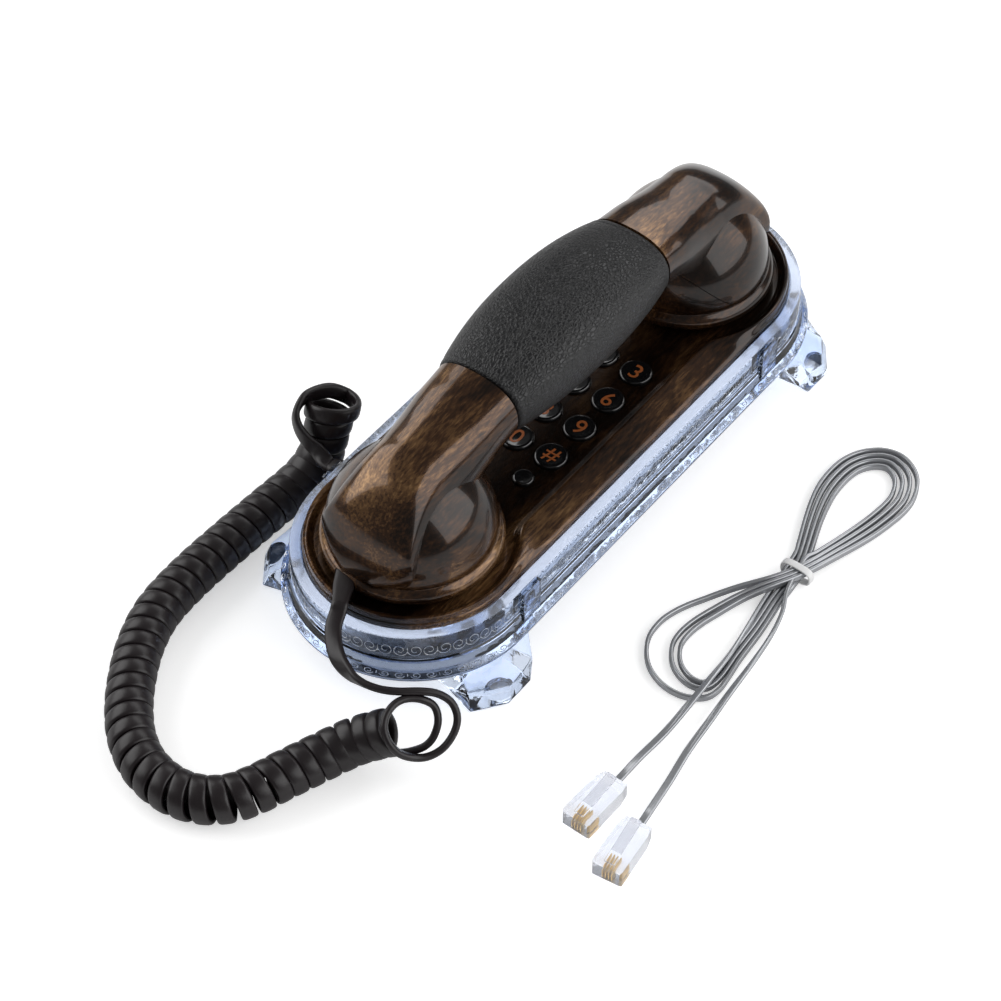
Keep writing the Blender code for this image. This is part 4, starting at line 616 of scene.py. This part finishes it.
def through(rows, steps):
    """Rows on a smooth curve through the given rows: each span is the cubic whose slope at a row is half the
    difference between the rows either side of it."""
    rows = np.asarray(rows, float)
    ends = np.vstack([2 * rows[0] - rows[1], rows, 2 * rows[-1] - rows[-2]])
    a, b, c, d = (ends[i:len(ends) - 3 + i, None, :] for i in range(4))
    t = np.linspace(0.0, 1.0, steps, endpoint=False)[None, :, None]
    spans = 0.5 * (2 * b + (c - a) * t + (2 * a - 5 * b + 4 * c - d) * t ** 2 + (3 * b - 3 * c + d - a) * t ** 3)
    return np.vstack([spans.reshape(-1, rows.shape[1]), rows[-1:]])


def squared(values, power):
    """Cosines or sines raised to a power with their sign kept, which makes a circle squarer."""
    return np.sign(values) * np.abs(values) ** power


def oval_rows(places, steps):
    """Upright sections across the phone from (y, half width, top, bottom): slightly squared ovals, whose half
    axes are raised to cosine and sine at the power 2 / 2.4."""
    y, wide, top, bottom = (places[:, k, None] for k in range(4))
    turn = circle(steps)[None]
    x = wide * squared(np.cos(turn), 2 / 2.4)
    z = (top + bottom) / 2 + (top - bottom) / 2 * squared(np.sin(turn), 2 / 2.4)
    return np.stack([x, y + 0 * x, SEAM_Z + z], axis=-1)


def grip_size(share):
    """Half width, top and bottom of the sleeve's outside, a barrel that swells towards its middle."""
    swell = 1.0 - np.abs(share) ** 2.2
    return np.stack([15.3 + 4.5 * swell, 37.1 + 4.9 * swell, 15.8 - 1.2 * swell], axis=-1) * MM


def handle_rows(inset, steps):
    """Sections of the handle from hood to hood: a core under the sleeve, a neck, and the hood's rounded end."""
    share = np.array([0.0, 0.3, 0.6, 0.88, 0.97])
    core = np.c_[share * 37.9 * MM, grip_size(share) + (2.5 * MM + inset) * INWARDS]
    end = grip_size(np.array([1.0])) + (1.9 * MM + inset) * INWARDS
    neck = np.array([(38.2, 14.9, 36.9, 15.6), (42.97, 14.8, 36.3, 14.2), (48.38, 14.8, 35.7, 11.9),
                     (54.74, 14.7, 34.8, 6.5), (61.1, 14.7, 33.8, 0.5)]) * MM
    neck[:, 1:] += inset * INWARDS
    turn = np.radians(np.concatenate([np.linspace(0.0, 84.0, 29), [86.5, 88.5, 89.6]]))
    reach = SEAM_R + 0.4 * MM - inset
    out = reach * np.sin(turn) ** (2 / 1.8)
    up = (32.3 * MM - inset) * np.cos(turn) ** (2 / 1.8)
    round_end = np.sqrt((reach + 0.5 * MM) ** 2 - out ** 2)
    wide = np.minimum((14.6 + 4.0 * (out / reach) ** 2) * MM - inset, round_end)
    hood = np.c_[DOME_Y + out, wide, up + 0.4 * MM, np.full_like(out, -3.5 * MM + inset)]
    neck = through(np.vstack([neck, hood[:1]]), 6)[:-1]
    half = np.vstack([core, np.c_[[37.9 * MM], end], neck, hood])
    other = half[:0:-1] * (-1, 1, 1, 1)
    return oval_rows(np.vstack([other, half]), steps)


def pod_profile(inset):
    """One end of the handset from its crown round the cheek and the cup to its face."""
    deep = CUP_H - inset
    turn = np.radians(np.linspace(2.0, 90.0, 36))
    cheek = np.c_[(SEAM_R - inset) * np.sin(turn), (26.5 * MM - inset) * np.cos(turn)]
    cup = np.array([(SEAM_R, 0.0), (SEAM_R, -0.7 * MM), (SEAM_R + 1.2 * MM, -1.9 * MM), (CUP_R, -0.45 * deep),
                    (CUP_R - 0.3 * MM, -0.66 * deep), (CUP_R - 1.7 * MM, -0.9 * deep), (CUP_R - 3.9 * MM, -deep)])
    cup[:, 0] -= inset
    return np.vstack([cheek, through(cup, 4)[1:]])


def handset_body(name, inset, steps, turns):
    """The whole handset as one closed form: handle and both ends joined."""
    body = skin(name, handle_rows(inset, steps))
    ends = [skin("pod", turned(pod_profile(inset), (0.0, y, SEAM_Z), turns)) for y in (DOME_Y, -DOME_Y)]
    return carve(body, "UNION", *ends)


def beyond_seam(name, drop, far_z):
    """All that lies on one side of the seam: low round the cups, risen along the handle."""
    low_y, high_y = DOME_Y - 6 * MM, GRIP_HALF + 2 * MM
    places = np.linspace(-low_y, low_y, 121)
    share = np.clip((np.abs(places) - high_y) / (low_y - high_y), 0.0, 1.0)
    heights = SEAM_Z + 22.19 * MM * (0.5 + 0.5 * np.cos(math.pi * share))
    heights -= drop * (0.12 + 0.88 * share) * np.hypot(1.0, np.gradient(heights, places))
    far = DOME_Y + 2 * CUP_R
    line = np.vstack([[(-far, SEAM_Z - drop)], np.c_[places, heights], [(far, SEAM_Z - drop)],
                      [(far, far_z)], [(-far, far_z)]])
    rows = [np.c_[np.full(len(line), x), line] for x in (-2 * CUP_R, 2 * CUP_R)]
    return skin(name, rows, cap="face", sharp=10)


def tapered_strap(name, stations, across, steps=28):
    """A flat relief with rounded edges carried along stations, each a centre, and a width and a height in mm."""
    turn = circle(steps)
    flat, thick = squared(np.cos(turn), 0.5), squared(np.sin(turn), 0.5)
    rows = [np.array(centre) + np.outer(flat * wide * MM / 2, across) + np.outer(thick * high * MM / 2, (0.0, 0.0, 1.0))
            for centre, wide, high in stations]
    return skin(name, rows, cap="face", sharp=50)


relief_start = np.array((-3.4 * MM, -(DOME_Y + CUP_R) + 0.4 * MM, 33.2 * MM))
relief_way = np.array((0.50, -0.866, 0.0)) / math.hypot(0.50, 0.866)
relief_across = np.array((-relief_way[1], relief_way[0], 0.0))

upper = handset_body("handset_upper_moulding", 0.0, 72, 112)
lower = put("handset_lower_moulding", upper.data.copy())
inside = handset_body("inside", SHELL_T, 24, 36)
inside_again = put("inside_again", inside.data.copy())
# Solid bosses stay round the screw seats, so each seat is a closed well in the cup's flank.
bosses = [peg(4.7 * MM, -34 * MM, 2.4 * MM, (0.0, y, SCREW_Z), 40) for y in (-SCREW_Y, SCREW_Y)]
carve(inside_again, "DIFFERENCE", *bosses)
carve(upper, "DIFFERENCE", inside)
carve(upper, "INTERSECT", beyond_seam("over", 0.0, SEAM_Z + 90 * MM))
carve(lower, "DIFFERENCE", inside_again)
carve(lower, "INTERSECT", beyond_seam("under", 0.3 * MM, CUP_Z - 10 * MM))
mouths = [peg(15 * MM, -MM, 3.2 * MM, (0.0, y, CUP_Z), 72) for y in (-DOME_Y, DOME_Y)]
seats = [peg(2.9 * MM, -30 * MM, 0.0, (0.0, y, SCREW_Z), 32) for y in (-SCREW_Y, SCREW_Y)]
slot = tapered_strap("slot", [(relief_start + relief_way * out * MM, 6.8, 3.4) for out in (-8.6, 4.0)], relief_across)
carve(lower, "DIFFERENCE", *mouths, *seats, slot)
fit(upper, walnut, "handset", "handset_upper_shell")
fit(lower, walnut, "handset", "handset_lower_shell")
dress(rubber, "microphone_capsule")


# -------------------- padded sleeve
# A foam-backed barrel of black leatherette pushed over the handle, with both edges rolled in.
# The leather grain is pebbles about a millimetre across, glossier on top than in the seams, and the seams are darkened
# with painted shade.

leatherette, tree, shader = finish("embossed_black_leatherette", "0C0C0E", 0.36, Specular_IOR_Level=0.55)
place = add(tree, "TexCoord").outputs["Object"]
drawn = add(tree, "Mapping", {"Vector": place, "Scale": (1.0, 0.6, 1.0)})
warp = add(tree, "TexNoise", {"Vector": drawn, "Scale": 0.9 / MM, "Detail": 2.0}).outputs["Color"]
shift = add(tree, "VectorMath", {0: warp, "Scale": 0.8 * MM}, operation="SCALE")
moved = add(tree, "VectorMath", {0: drawn, 1: shift}, operation="ADD")
pebble = add(tree, "TexVoronoi", {"Vector": moved, "Scale": 1.05 / MM}, feature="DISTANCE_TO_EDGE")
domed = add(tree, "MapRange", {"Value": pebble.outputs["Distance"], "From Max": 0.25}, clamp=True)
crease = add(tree, "TexNoise", {"Vector": drawn, "Scale": 0.12 / MM, "Detail": 3.0})
relief = add(tree, "Math", {0: crease, 1: 1.4, 2: domed}, operation="MULTIPLY_ADD")
bump = add(tree, "Bump", {"Height": relief, "Distance": 0.13 * MM, "Strength": 1.0})
# Painted shade: the seams between the pebbles are darker than the pebble tops.
tone = add(tree, "ValToRGB", {"Fac": domed}, stops=((0.0, "050506"), (1.0, "111114")))
shine = add(tree, "MapRange", {"Value": domed, "To Min": 0.5, "To Max": 0.32})
feed(tree, shader, {"Normal": bump, "Base Color": tone, "Roughness": shine})

wall = 2.2 * MM
roll_turn = np.radians(np.linspace(90.0, -90.0, 9))
roll = np.c_[np.cos(roll_turn), -np.sin(roll_turn)] * (wall / 2)
body_y = (GRIP_HALF - wall / 2) * np.sin(np.linspace(-math.pi / 2, math.pi / 2, 60))
outside = np.c_[body_y, np.zeros_like(body_y)]
right_roll = np.c_[GRIP_HALF - wall / 2 + roll[:, 0], wall / 2 + roll[:, 1]]
inside_line = np.c_[body_y[::-4], np.full_like(body_y[::-4], wall)]
loop = np.vstack([outside[:-1], right_roll, inside_line[1:-1], (right_roll * (-1, 1))[::-1][:-1]])
sizes = grip_size(np.clip(loop[:, 0] / GRIP_HALF, -1.0, 1.0)) + loop[:, 1, None] * INWARDS
hem = 0.16 * MM * np.exp(-((GRIP_HALF - np.abs(loop[:, 0]) - 2.6 * MM) / (0.5 * MM)) ** 2) * (loop[:, 1] < 0.1 * MM)
sizes += hem[:, None] * INWARDS
sleeve = skin("leatherette_sleeve", oval_rows(np.c_[loop[:, 0], sizes], 120), ring=True, sharp=60)
fit(sleeve, leatherette, "handset", "grip_sleeve")


# -------------------- cord reliefs and curly cord
# Black-brown flat cord wound hot into a coil, 44 curls and two loose ones at the handset end. It
# lies on the table, and its ends are moulded into flat flexible reliefs.

# Soft vinyl: the drawn cord has a smooth satin sheen, the moulded reliefs are duller.
cord_vinyl = grained("black_brown_vinyl", "1D1719", 0.36, 2 * MM, 0.03 * MM)
relief_vinyl = grained("moulded_black_vinyl", "1F191A", 0.45, 0.4 * MM, 0.02 * MM)


def at_handset(out, up=0.0):
    """A point on the handset relief's line, out from its start and up, in mm."""
    return relief_start + relief_way * out * MM + (0, 0, up * MM)


# Each relief as stations of place, width and height in mm.
stations = [(at_handset(-10.0, 0.6), 7.3, 3.6), (at_handset(-9.0, 0.6), 7.3, 3.6), (at_handset(-8.9), 6.3, 3.0),
            (at_handset(2.4), 6.2, 2.95)]
stations += [(at_handset(out), wide, high) for out, wide, high in (
    (2.9, 6.1, 2.9), (4.5, 5.6, 2.75), (6.0, 5.2, 2.6), (7.5, 4.9, 2.45), (9.0, 4.75, 2.35))]
handset_relief = fit(tapered_strap("handset_relief_moulded", stations, relief_across), relief_vinyl, "handset",
                     "handset_cord_relief")
face_x, tip_x = -(RIM_R + 0.2 * MM), -(RIM_R + 5.2 * MM)
stations = [((x + out * MM, relief_y, relief_z), wide, high) for x, out, wide, high in (
    (face_x, 6.6, 5.2, 3.0), (face_x, 0.0, 5.2, 3.0), (face_x, -0.05, 7.2, 4.6), (face_x, -0.9, 7.3, 4.7),
    (face_x, -1.2, 7.0, 4.4), (face_x, -3.0, 6.1, 3.9), (tip_x, 0.3, 5.1, 3.5), (tip_x, 0.0, 4.8, 3.2))]
base_relief = fit(tapered_strap("base_relief_moulded", stations, (0.0, 1.0, 0.0)), relief_vinyl, "base",
                  "base_cord_relief")

# The coil's middle line, in mm.
COIL_AXIS = (
    (-53.6, -41.5, 30.6), (-53.1, -43.9, 26.1), (-52.6, -46.3, 21.6), (-52.1, -48.9, 16.9), (-52.0, -52.2, 12.7),
    (-52.6, -57.2, 9.5), (-53.5, -63.4, 7.9), (-54.3, -72.0, 7.5), (-55.2, -90.0, 7.5), (-55.6, -109.0, 7.5),
    (-54.3, -124.5, 7.5), (-50.0, -137.2, 7.5), (-43.5, -148.5, 7.5), (-36.6, -157.6, 7.5), (-28.8, -165.0, 7.5),
    (-19.2, -170.2, 7.5), (-8.4, -171.8, 7.5), (0.9, -169.4, 7.5), (7.6, -163.8, 7.5), (11.6, -156.4, 7.5),
    (14.0, -149.6, 7.5), (16.6, -142.9, 7.6), (19.3, -136.6, 8.0), (21.9, -131.4, 8.8), (25.0, -127.4, 10.5),
    (29.1, -124.4, 13.0), (33.5, -122.2, 16.2),
)
# Each row of the tail at the base is a point and the wide direction of the cord there.
BASE_TAIL = (
    (-48.5, -56.0, 22.9, -0.1, -0.5, -0.87), (-51.9, -56.2, 24.8, -0.2, -0.2, -0.96),
    (-55.0, -55.9, 27.0, -0.3, 0, -0.95), (-57.4, -54.8, 29.0, -0.35, 0.1, -0.93),
    (-58.8, -53.2, 30.6, -0.33, 0.12, -0.93), (-59.6, -50.5, 31.6, -0.25, 0, -0.96),
    (-60.0, -47.1, 31.6, -0.1, -0.2, -0.97), (-59.2, -42.3, 30.3, 0, -0.35, -0.93),
    (-57.1, -38.3, 29.0, 0.05, -0.45, -0.9),
)
LOOSE_CURLS = (
    (38.8, -124.0, 12.3), (40.7, -122.0, 12.5), (43.3, -119.2, 14.0), (44.3, -116.3, 16.5), (43.4, -113.1, 20.0),
    (40.8, -111.6, 23.0), (37.7, -113.2, 25.2), (34.8, -115.9, 26.2), (33.2, -119.4, 26.4), (33.3, -123.7, 25.8),
    (35.0, -127.2, 24.2), (37.9, -128.6, 21.0), (40.6, -127.7, 17.5), (43.3, -124.8, 14.5), (46.1, -121.3, 13.5),
    (48.1, -116.9, 14.5), (48.4, -112.2, 17.0), (47.1, -108.9, 20.0), (43.9, -107.6, 23.2), (40.0, -109.1, 25.6),
    (36.3, -112.3, 27.0),
)
HANDSET_TAIL = (
    (1.8, -106.8, 32.0), (3.7, -111.2, 31.0), (6.4, -114.6, 30.0), (9.9, -117.6, 29.2), (13.1, -119.2, 28.6),
    (17.1, -120.3, 28.3), (20.3, -120.6, 28.2), (24.4, -120.2, 28.2), (28.4, -118.9, 28.2), (32.2, -116.3, 27.8),
)
COIL_TURNS, COIL_PITCH, COIL_MIDDLE, CURL_POINTS = 44.04, 5.29 * MM, 6.1 * MM, 30
COIL_FIRST = 6  # points of the coil given up to the tail at the base


def unit(vectors):
    """Vectors of length one."""
    return vectors / np.linalg.norm(vectors, axis=-1, keepdims=True)


def stepped(rows, step):
    """Rows read at equal distances along the path of their first three columns."""
    along = np.concatenate([[0.0], np.cumsum(np.linalg.norm(np.diff(rows[:, :3], axis=0), axis=1))])
    wanted = np.linspace(0.0, along[-1], int(round(along[-1] / step)) + 1)
    return np.stack([np.interp(wanted, along, rows[:, k]) for k in range(rows.shape[1])], axis=1)


def carried_side(ahead, side):
    """A side direction carried along a path without twist: each step turns it only as far as the path turns."""
    sides = []
    for way in ahead:
        side = unit(side - way * np.dot(side, way))
        sides.append(side)
    return np.array(sides)


def coil_rows():
    """Points of the coil with its axis direction at each: a right-handed helix about a curved axis, whose pitch
    opens in a bend by the radius times the bend, so that the inside of the bend stays clear."""
    step = 0.25 * MM
    axis = stepped(through(np.array(COIL_AXIS) * MM, 24), step)
    ahead = unit(np.gradient(axis, axis=0))
    sides = carried_side(ahead, np.array((-0.98, 0.22, 0.0)))
    bend = np.linalg.norm(np.gradient(ahead, axis=0), axis=1) / step
    bend = np.convolve(np.pad(bend, 20, mode="edge"), np.ones(41) / 41, mode="valid")
    turn_length = COIL_PITCH / (1.0 - np.clip(0.5 * MM * bend, 0.0, 0.75))
    angle = np.concatenate([[0.0], np.cumsum(2 * math.pi * step / turn_length[1:])])
    wanted = np.arange(int(COIL_TURNS * CURL_POINTS) + 1) * 2 * math.pi / CURL_POINTS
    at = np.interp(wanted, angle, np.arange(len(angle)))
    middle, side, along = (np.stack([np.interp(at, np.arange(len(table)), table[:, k]) for k in range(3)], axis=1)
                           for table in (axis, sides, ahead))
    along = unit(along)
    other = np.cross(along, side)
    radius = COIL_MIDDLE + 2 * MM * np.exp(-(wanted / 6.5) ** 2)[:, None]
    points = middle + radius * (np.cos(wanted)[:, None] * side + np.sin(wanted)[:, None] * other)
    return np.c_[points, along]


def ribbon(name, rows, profile):
    """A closed profile carried along a path: laid on the row's wide direction, made square to the path, and on
    the direction across both."""
    path = rows[:, :3]
    ahead = unit(np.gradient(path, axis=0))
    wide = unit(rows[:, 3:] - ahead * np.sum(rows[:, 3:] * ahead, axis=1)[:, None])
    thick = np.cross(ahead, wide)
    rows = path[:, None] + profile[None, :, :1] * wide[:, None] + profile[None, :, 1:] * thick[:, None]
    return skin(name, rows, sharp=50)


def flat_profile(wide, high, power, steps=16):
    """A flat cord's section: an oval squared by a power."""
    turn = circle(steps)
    return np.c_[wide / 2 * squared(np.cos(turn), 2 / power), high / 2 * squared(np.sin(turn), 2 / power)]


def with_side(points, first, last):
    """Route points in mm as rows, with a wide direction that turns from the first to the last given."""
    points = np.array(points, float) * MM
    share = np.linspace(0.0, 1.0, len(points))[:, None]
    return np.c_[points, (1 - share) * np.array(first) + share * np.array(last)]


facing = unit(np.array((0.40, -0.52, 0.75)))
entry = [np.array((tip_x - out * MM, relief_y, relief_z)) / MM for out in (0.3, 1.8)]
relief_tip = [at_handset(out) / MM for out in (9.6, 8.2)]
cord_rows = np.vstack([
    with_side(entry, (0.0, -1.0, 0.0), (0.0, -1.0, 0.0)),
    np.array(BASE_TAIL) * (MM, MM, MM, 1, 1, 1),
    coil_rows()[COIL_FIRST:],
    with_side(LOOSE_CURLS, facing, facing),
    with_side(HANDSET_TAIL[::-1], facing, relief_across),
    with_side(relief_tip, relief_across, relief_across),
])
cord_rows = stepped(through(cord_rows, 6), 0.9 * MM)
curly = ribbon("curly_cord", cord_rows, flat_profile(5.05 * MM, 2.3 * MM, 3.2))
fit(curly, cord_vinyl, None, "curly_cord_base_tail", "curly_cord_coil", "curly_cord_handset_tail")
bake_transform(curly)


# -------------------- line cord
# Flat silver-grey line cord folded into a hank of figure-of-eight loops under a white strap, with a
# clear modular plug on each end. It lies by itself beside the phone.

# Flake in the vinyl gives the silvery sheen under a smooth skin.
line_vinyl = grained("silver_satin_vinyl", "ABADB1", 0.22, 3 * MM, 0.03 * MM, Metallic=0.6, Coat_Weight=0.4,
                     Coat_Roughness=0.1)
LINE_STEP, LINE_WIDE, LINE_THICK = 1.7 * MM, 2.4 * MM, 1.5 * MM
TIE_X, TIE_Y = 86.9 * MM, 7.6 * MM
# One loop of the hank's middle line: plan and height in mm, and how far the strands spread there.
HANK_LOOP = (
    (85.9, 8.8, 1.4, 1), (82.9, 18.6, 1.4, 1), (78.7, 29.4, 1.4, 1.1), (75.1, 42.2, 1.4, 1.3), (75.1, 54.0, 1.4, 1.4),
    (79.1, 61.5, 1.4, 1.5), (85.3, 64.4, 1.4, 1.6), (92.0, 60.9, 1.4, 1.6), (95.7, 52.8, 1.4, 1.5),
    (95.5, 43.6, 1.4, 1.4), (93.7, 33.0, 1.6, 1.3), (91.0, 21.0, 2.6, 1.1), (88.9, 11.6, 3.8, 1), (86.2, 4.7, 4.0, 1),
    (82.5, -1.9, 3.8, 1.1), (77.9, -9.7, 2.6, 1.3), (74.2, -18.9, 1.6, 1.5), (71.9, -27.8, 1.4, 1.6),
    (72.2, -36.5, 1.4, 1.7), (77.1, -43.6, 1.4, 1.7), (84.1, -46.5, 1.4, 1.6), (89.8, -44.9, 1.4, 1.5),
    (91.0, -38.8, 1.4, 1.3), (90.0, -30.1, 1.4, 1.1), (89.0, -17.6, 1.4, 1), (87.3, -5.4, 1.4, 1),
)
FLARE_AT, FLARE = 67, (1.0, 2.5, 4.2, 5.0, 4.4, 2.8, 1.0)
LINE_TAIL_A = ((84.5, -5.9, 1.4), (86.7, -18.1, 2.0), (89.1, -31.1, 3.4), (90.1, -43.0, 4.3), (90.5, -53.3, 4.0),
               (90.3, -65.5, 2.4), (89.6, -77.4, 2.2))
LINE_TAIL_B = ((88.8, -0.4, 3.6), (92.1, -8.0, 2.6), (94.6, -18.1, 2.6), (96.6, -31.1, 4.0), (97.7, -43.6, 4.3),
               (98.4, -54.6, 3.0), (99.2, -67.1, 1.8), (101.2, -78.7, 1.8), (103.0, -89.9, 2.6))
PLUG_PLACES = {"a": ((89.8, -89.5, 3.4), -91.0), "b": ((104.2, -98.0, 3.4), -83.0)}


def hank_rows():
    """The hank's strands on edge: three and a half loops about one middle line, each strand set off square to the
    line by the step times its order and the spread, and the last near loop flared outwards."""
    loop = np.array(HANK_LOOP)
    passes = np.vstack([loop, loop, loop, loop[:13]])
    apart = np.linspace(1.5, -1.5, len(passes)) * passes[:, 3] * LINE_STEP / MM
    apart[FLARE_AT:FLARE_AT + len(FLARE)] -= FLARE
    middle = through(np.c_[passes[:, :3], apart] * MM, 8)
    heading = unit(np.gradient(middle[:, :2], axis=0))
    plan = middle[:, :2] + np.c_[-heading[:, 1], heading[:, 0]] * middle[:, 3:]
    return np.c_[plan, middle[:, 2], np.tile((0.0, 0.0, 1.0), (len(plan), 1))]


def plug_frame(name):
    """Cord end of a plug and its direction, away from the cord."""
    (x, y, z), degrees = PLUG_PLACES[name]
    turn = math.radians(degrees)
    return np.array((x, y, z)) * MM, np.array((math.cos(turn), math.sin(turn), 0.0))


def tail_rows(route, name):
    """A tail's rows from the hank to just inside its plug: on edge at the hank, turned flat before the plug."""
    end, way = plug_frame(name)
    end = end - (0.0, 0.0, 0.35 * MM)
    points = np.vstack([np.array(route) * MM, end - way * 4 * MM, end - way * 0.3 * MM])
    ahead = unit(np.gradient(points, axis=0))
    flat = np.clip(np.linspace(0.0, 1.5, len(points)), 0.0, 1.0)[:, None]
    beside = np.c_[-ahead[:, 1], ahead[:, 0], 0.0 * ahead[:, 0]]
    return np.c_[points, flat * beside + (1.0 - flat) * (0.0, 0.0, 1.0)]


tail_a, tail_b = tail_rows(LINE_TAIL_A, "a")[::-1], tail_rows(LINE_TAIL_B, "b")
line_rows = stepped(through(np.vstack([tail_a, hank_rows()[4::4], tail_b]), 4), 1.2 * MM)
section = flat_profile(LINE_WIDE, LINE_THICK, 2.6, 24)
section[:, 1] *= 1.0 - 0.3 * np.exp(-(section[:, 0] / (0.35 * MM)) ** 2)
line = ribbon("line_cord", line_rows, section)
fit(line, line_vinyl, "base", "line_cord_tail_a", "line_cord_hank", "line_cord_tail_b")

tie_white = grained("white_polyethylene", "ECECEC", 0.4, 0.8 * MM, 0.02 * MM)
turn = circle(96)
c, s = np.cos(turn), np.sin(turn)
TIE_HALF_X, TIE_HALF_Z = 5.1 * MM, 2.8 * MM
tie_path = np.c_[TIE_X + TIE_HALF_X * squared(c, 0.62), np.full(96, TIE_Y),
                     0.35 * MM + TIE_HALF_Z + TIE_HALF_Z * squared(s, 0.62)]
out = unit(np.c_[c * 0.6, 0 * c, s])
strap = flat_profile(2.4 * MM, 0.7 * MM, 4.0, 12)
rows = tie_path[:, None] + strap[None, :, :1] * np.array((0.0, 1.0, 0.0)) + strap[None, :, 1:] * out[:, None]
tie = fit(skin("line_tie", rows, ring=True, sharp=50), tie_white, "base", "line_cord_tie")

# The plugs are polished clear plastic, and their contacts thinly gilded.
clear_poly = grained("clear_polycarbonate", "E6E6E9", 0.08, 3 * MM, 0.05 * MM, Transmission_Weight=0.88, IOR=1.5)
let_lamps_through(clear_poly, 0.85)
gold = grained("gold_plated_bronze", "D9B36A", 0.28, 0.2 * MM, 0.005 * MM, Metallic=1.0)


def plug_pieces(name):
    """A six-position plug: body narrowing to the cord, latch tongue, and four contacts in their slots."""
    start, way = plug_frame(name)
    across = np.array((-way[1], way[0], 0.0))
    base = start * (1, 1, 0) + (0.0, 0.0, 3.35 * MM)

    def ring(distance, half, low, high, middle=0.0):
        corners = ((middle - half, low), (middle + half, low), (middle + half, high), (middle - half, high))
        return [base + way * distance * MM + across * a * MM + np.array((0, 0, b)) * MM for a, b in corners]

    body = skin(f"line_plug_{name}_body", [
        ring(0.0, 4.0, -3.3, 1.9), ring(4.0, 4.8, -3.3, 2.7), ring(12.5, 4.82, -3.3, 3.3), ring(18.9, 4.82, -3.3, 3.3),
        ring(19.5, 4.3, -2.8, 2.8)], cap="face", sharp=15)
    latch = skin("latch", [ring(17.9, 1.6, 3.0, 3.8), ring(14.5, 1.6, 3.2, 4.3), ring(2.0, 1.6, 4.6, 5.6)],
                 cap="face", sharp=15)
    carve(body, "UNION", latch, sharp=20)
    fit(body, clear_poly, "base", f"line_plug_{name}")
    blades = [skin(f"contact_{name}_{number}", [ring(d, 0.15, -2.9, 0.1, a) for d in (13.2, 18.0)], cap="face")
              for number, a in enumerate((-1.53, -0.51, 0.51, 1.53), 1)]
    return [body] + [fit(blade, gold, "base") for blade in blades]


plugs = plug_pieces("a") + plug_pieces("b")
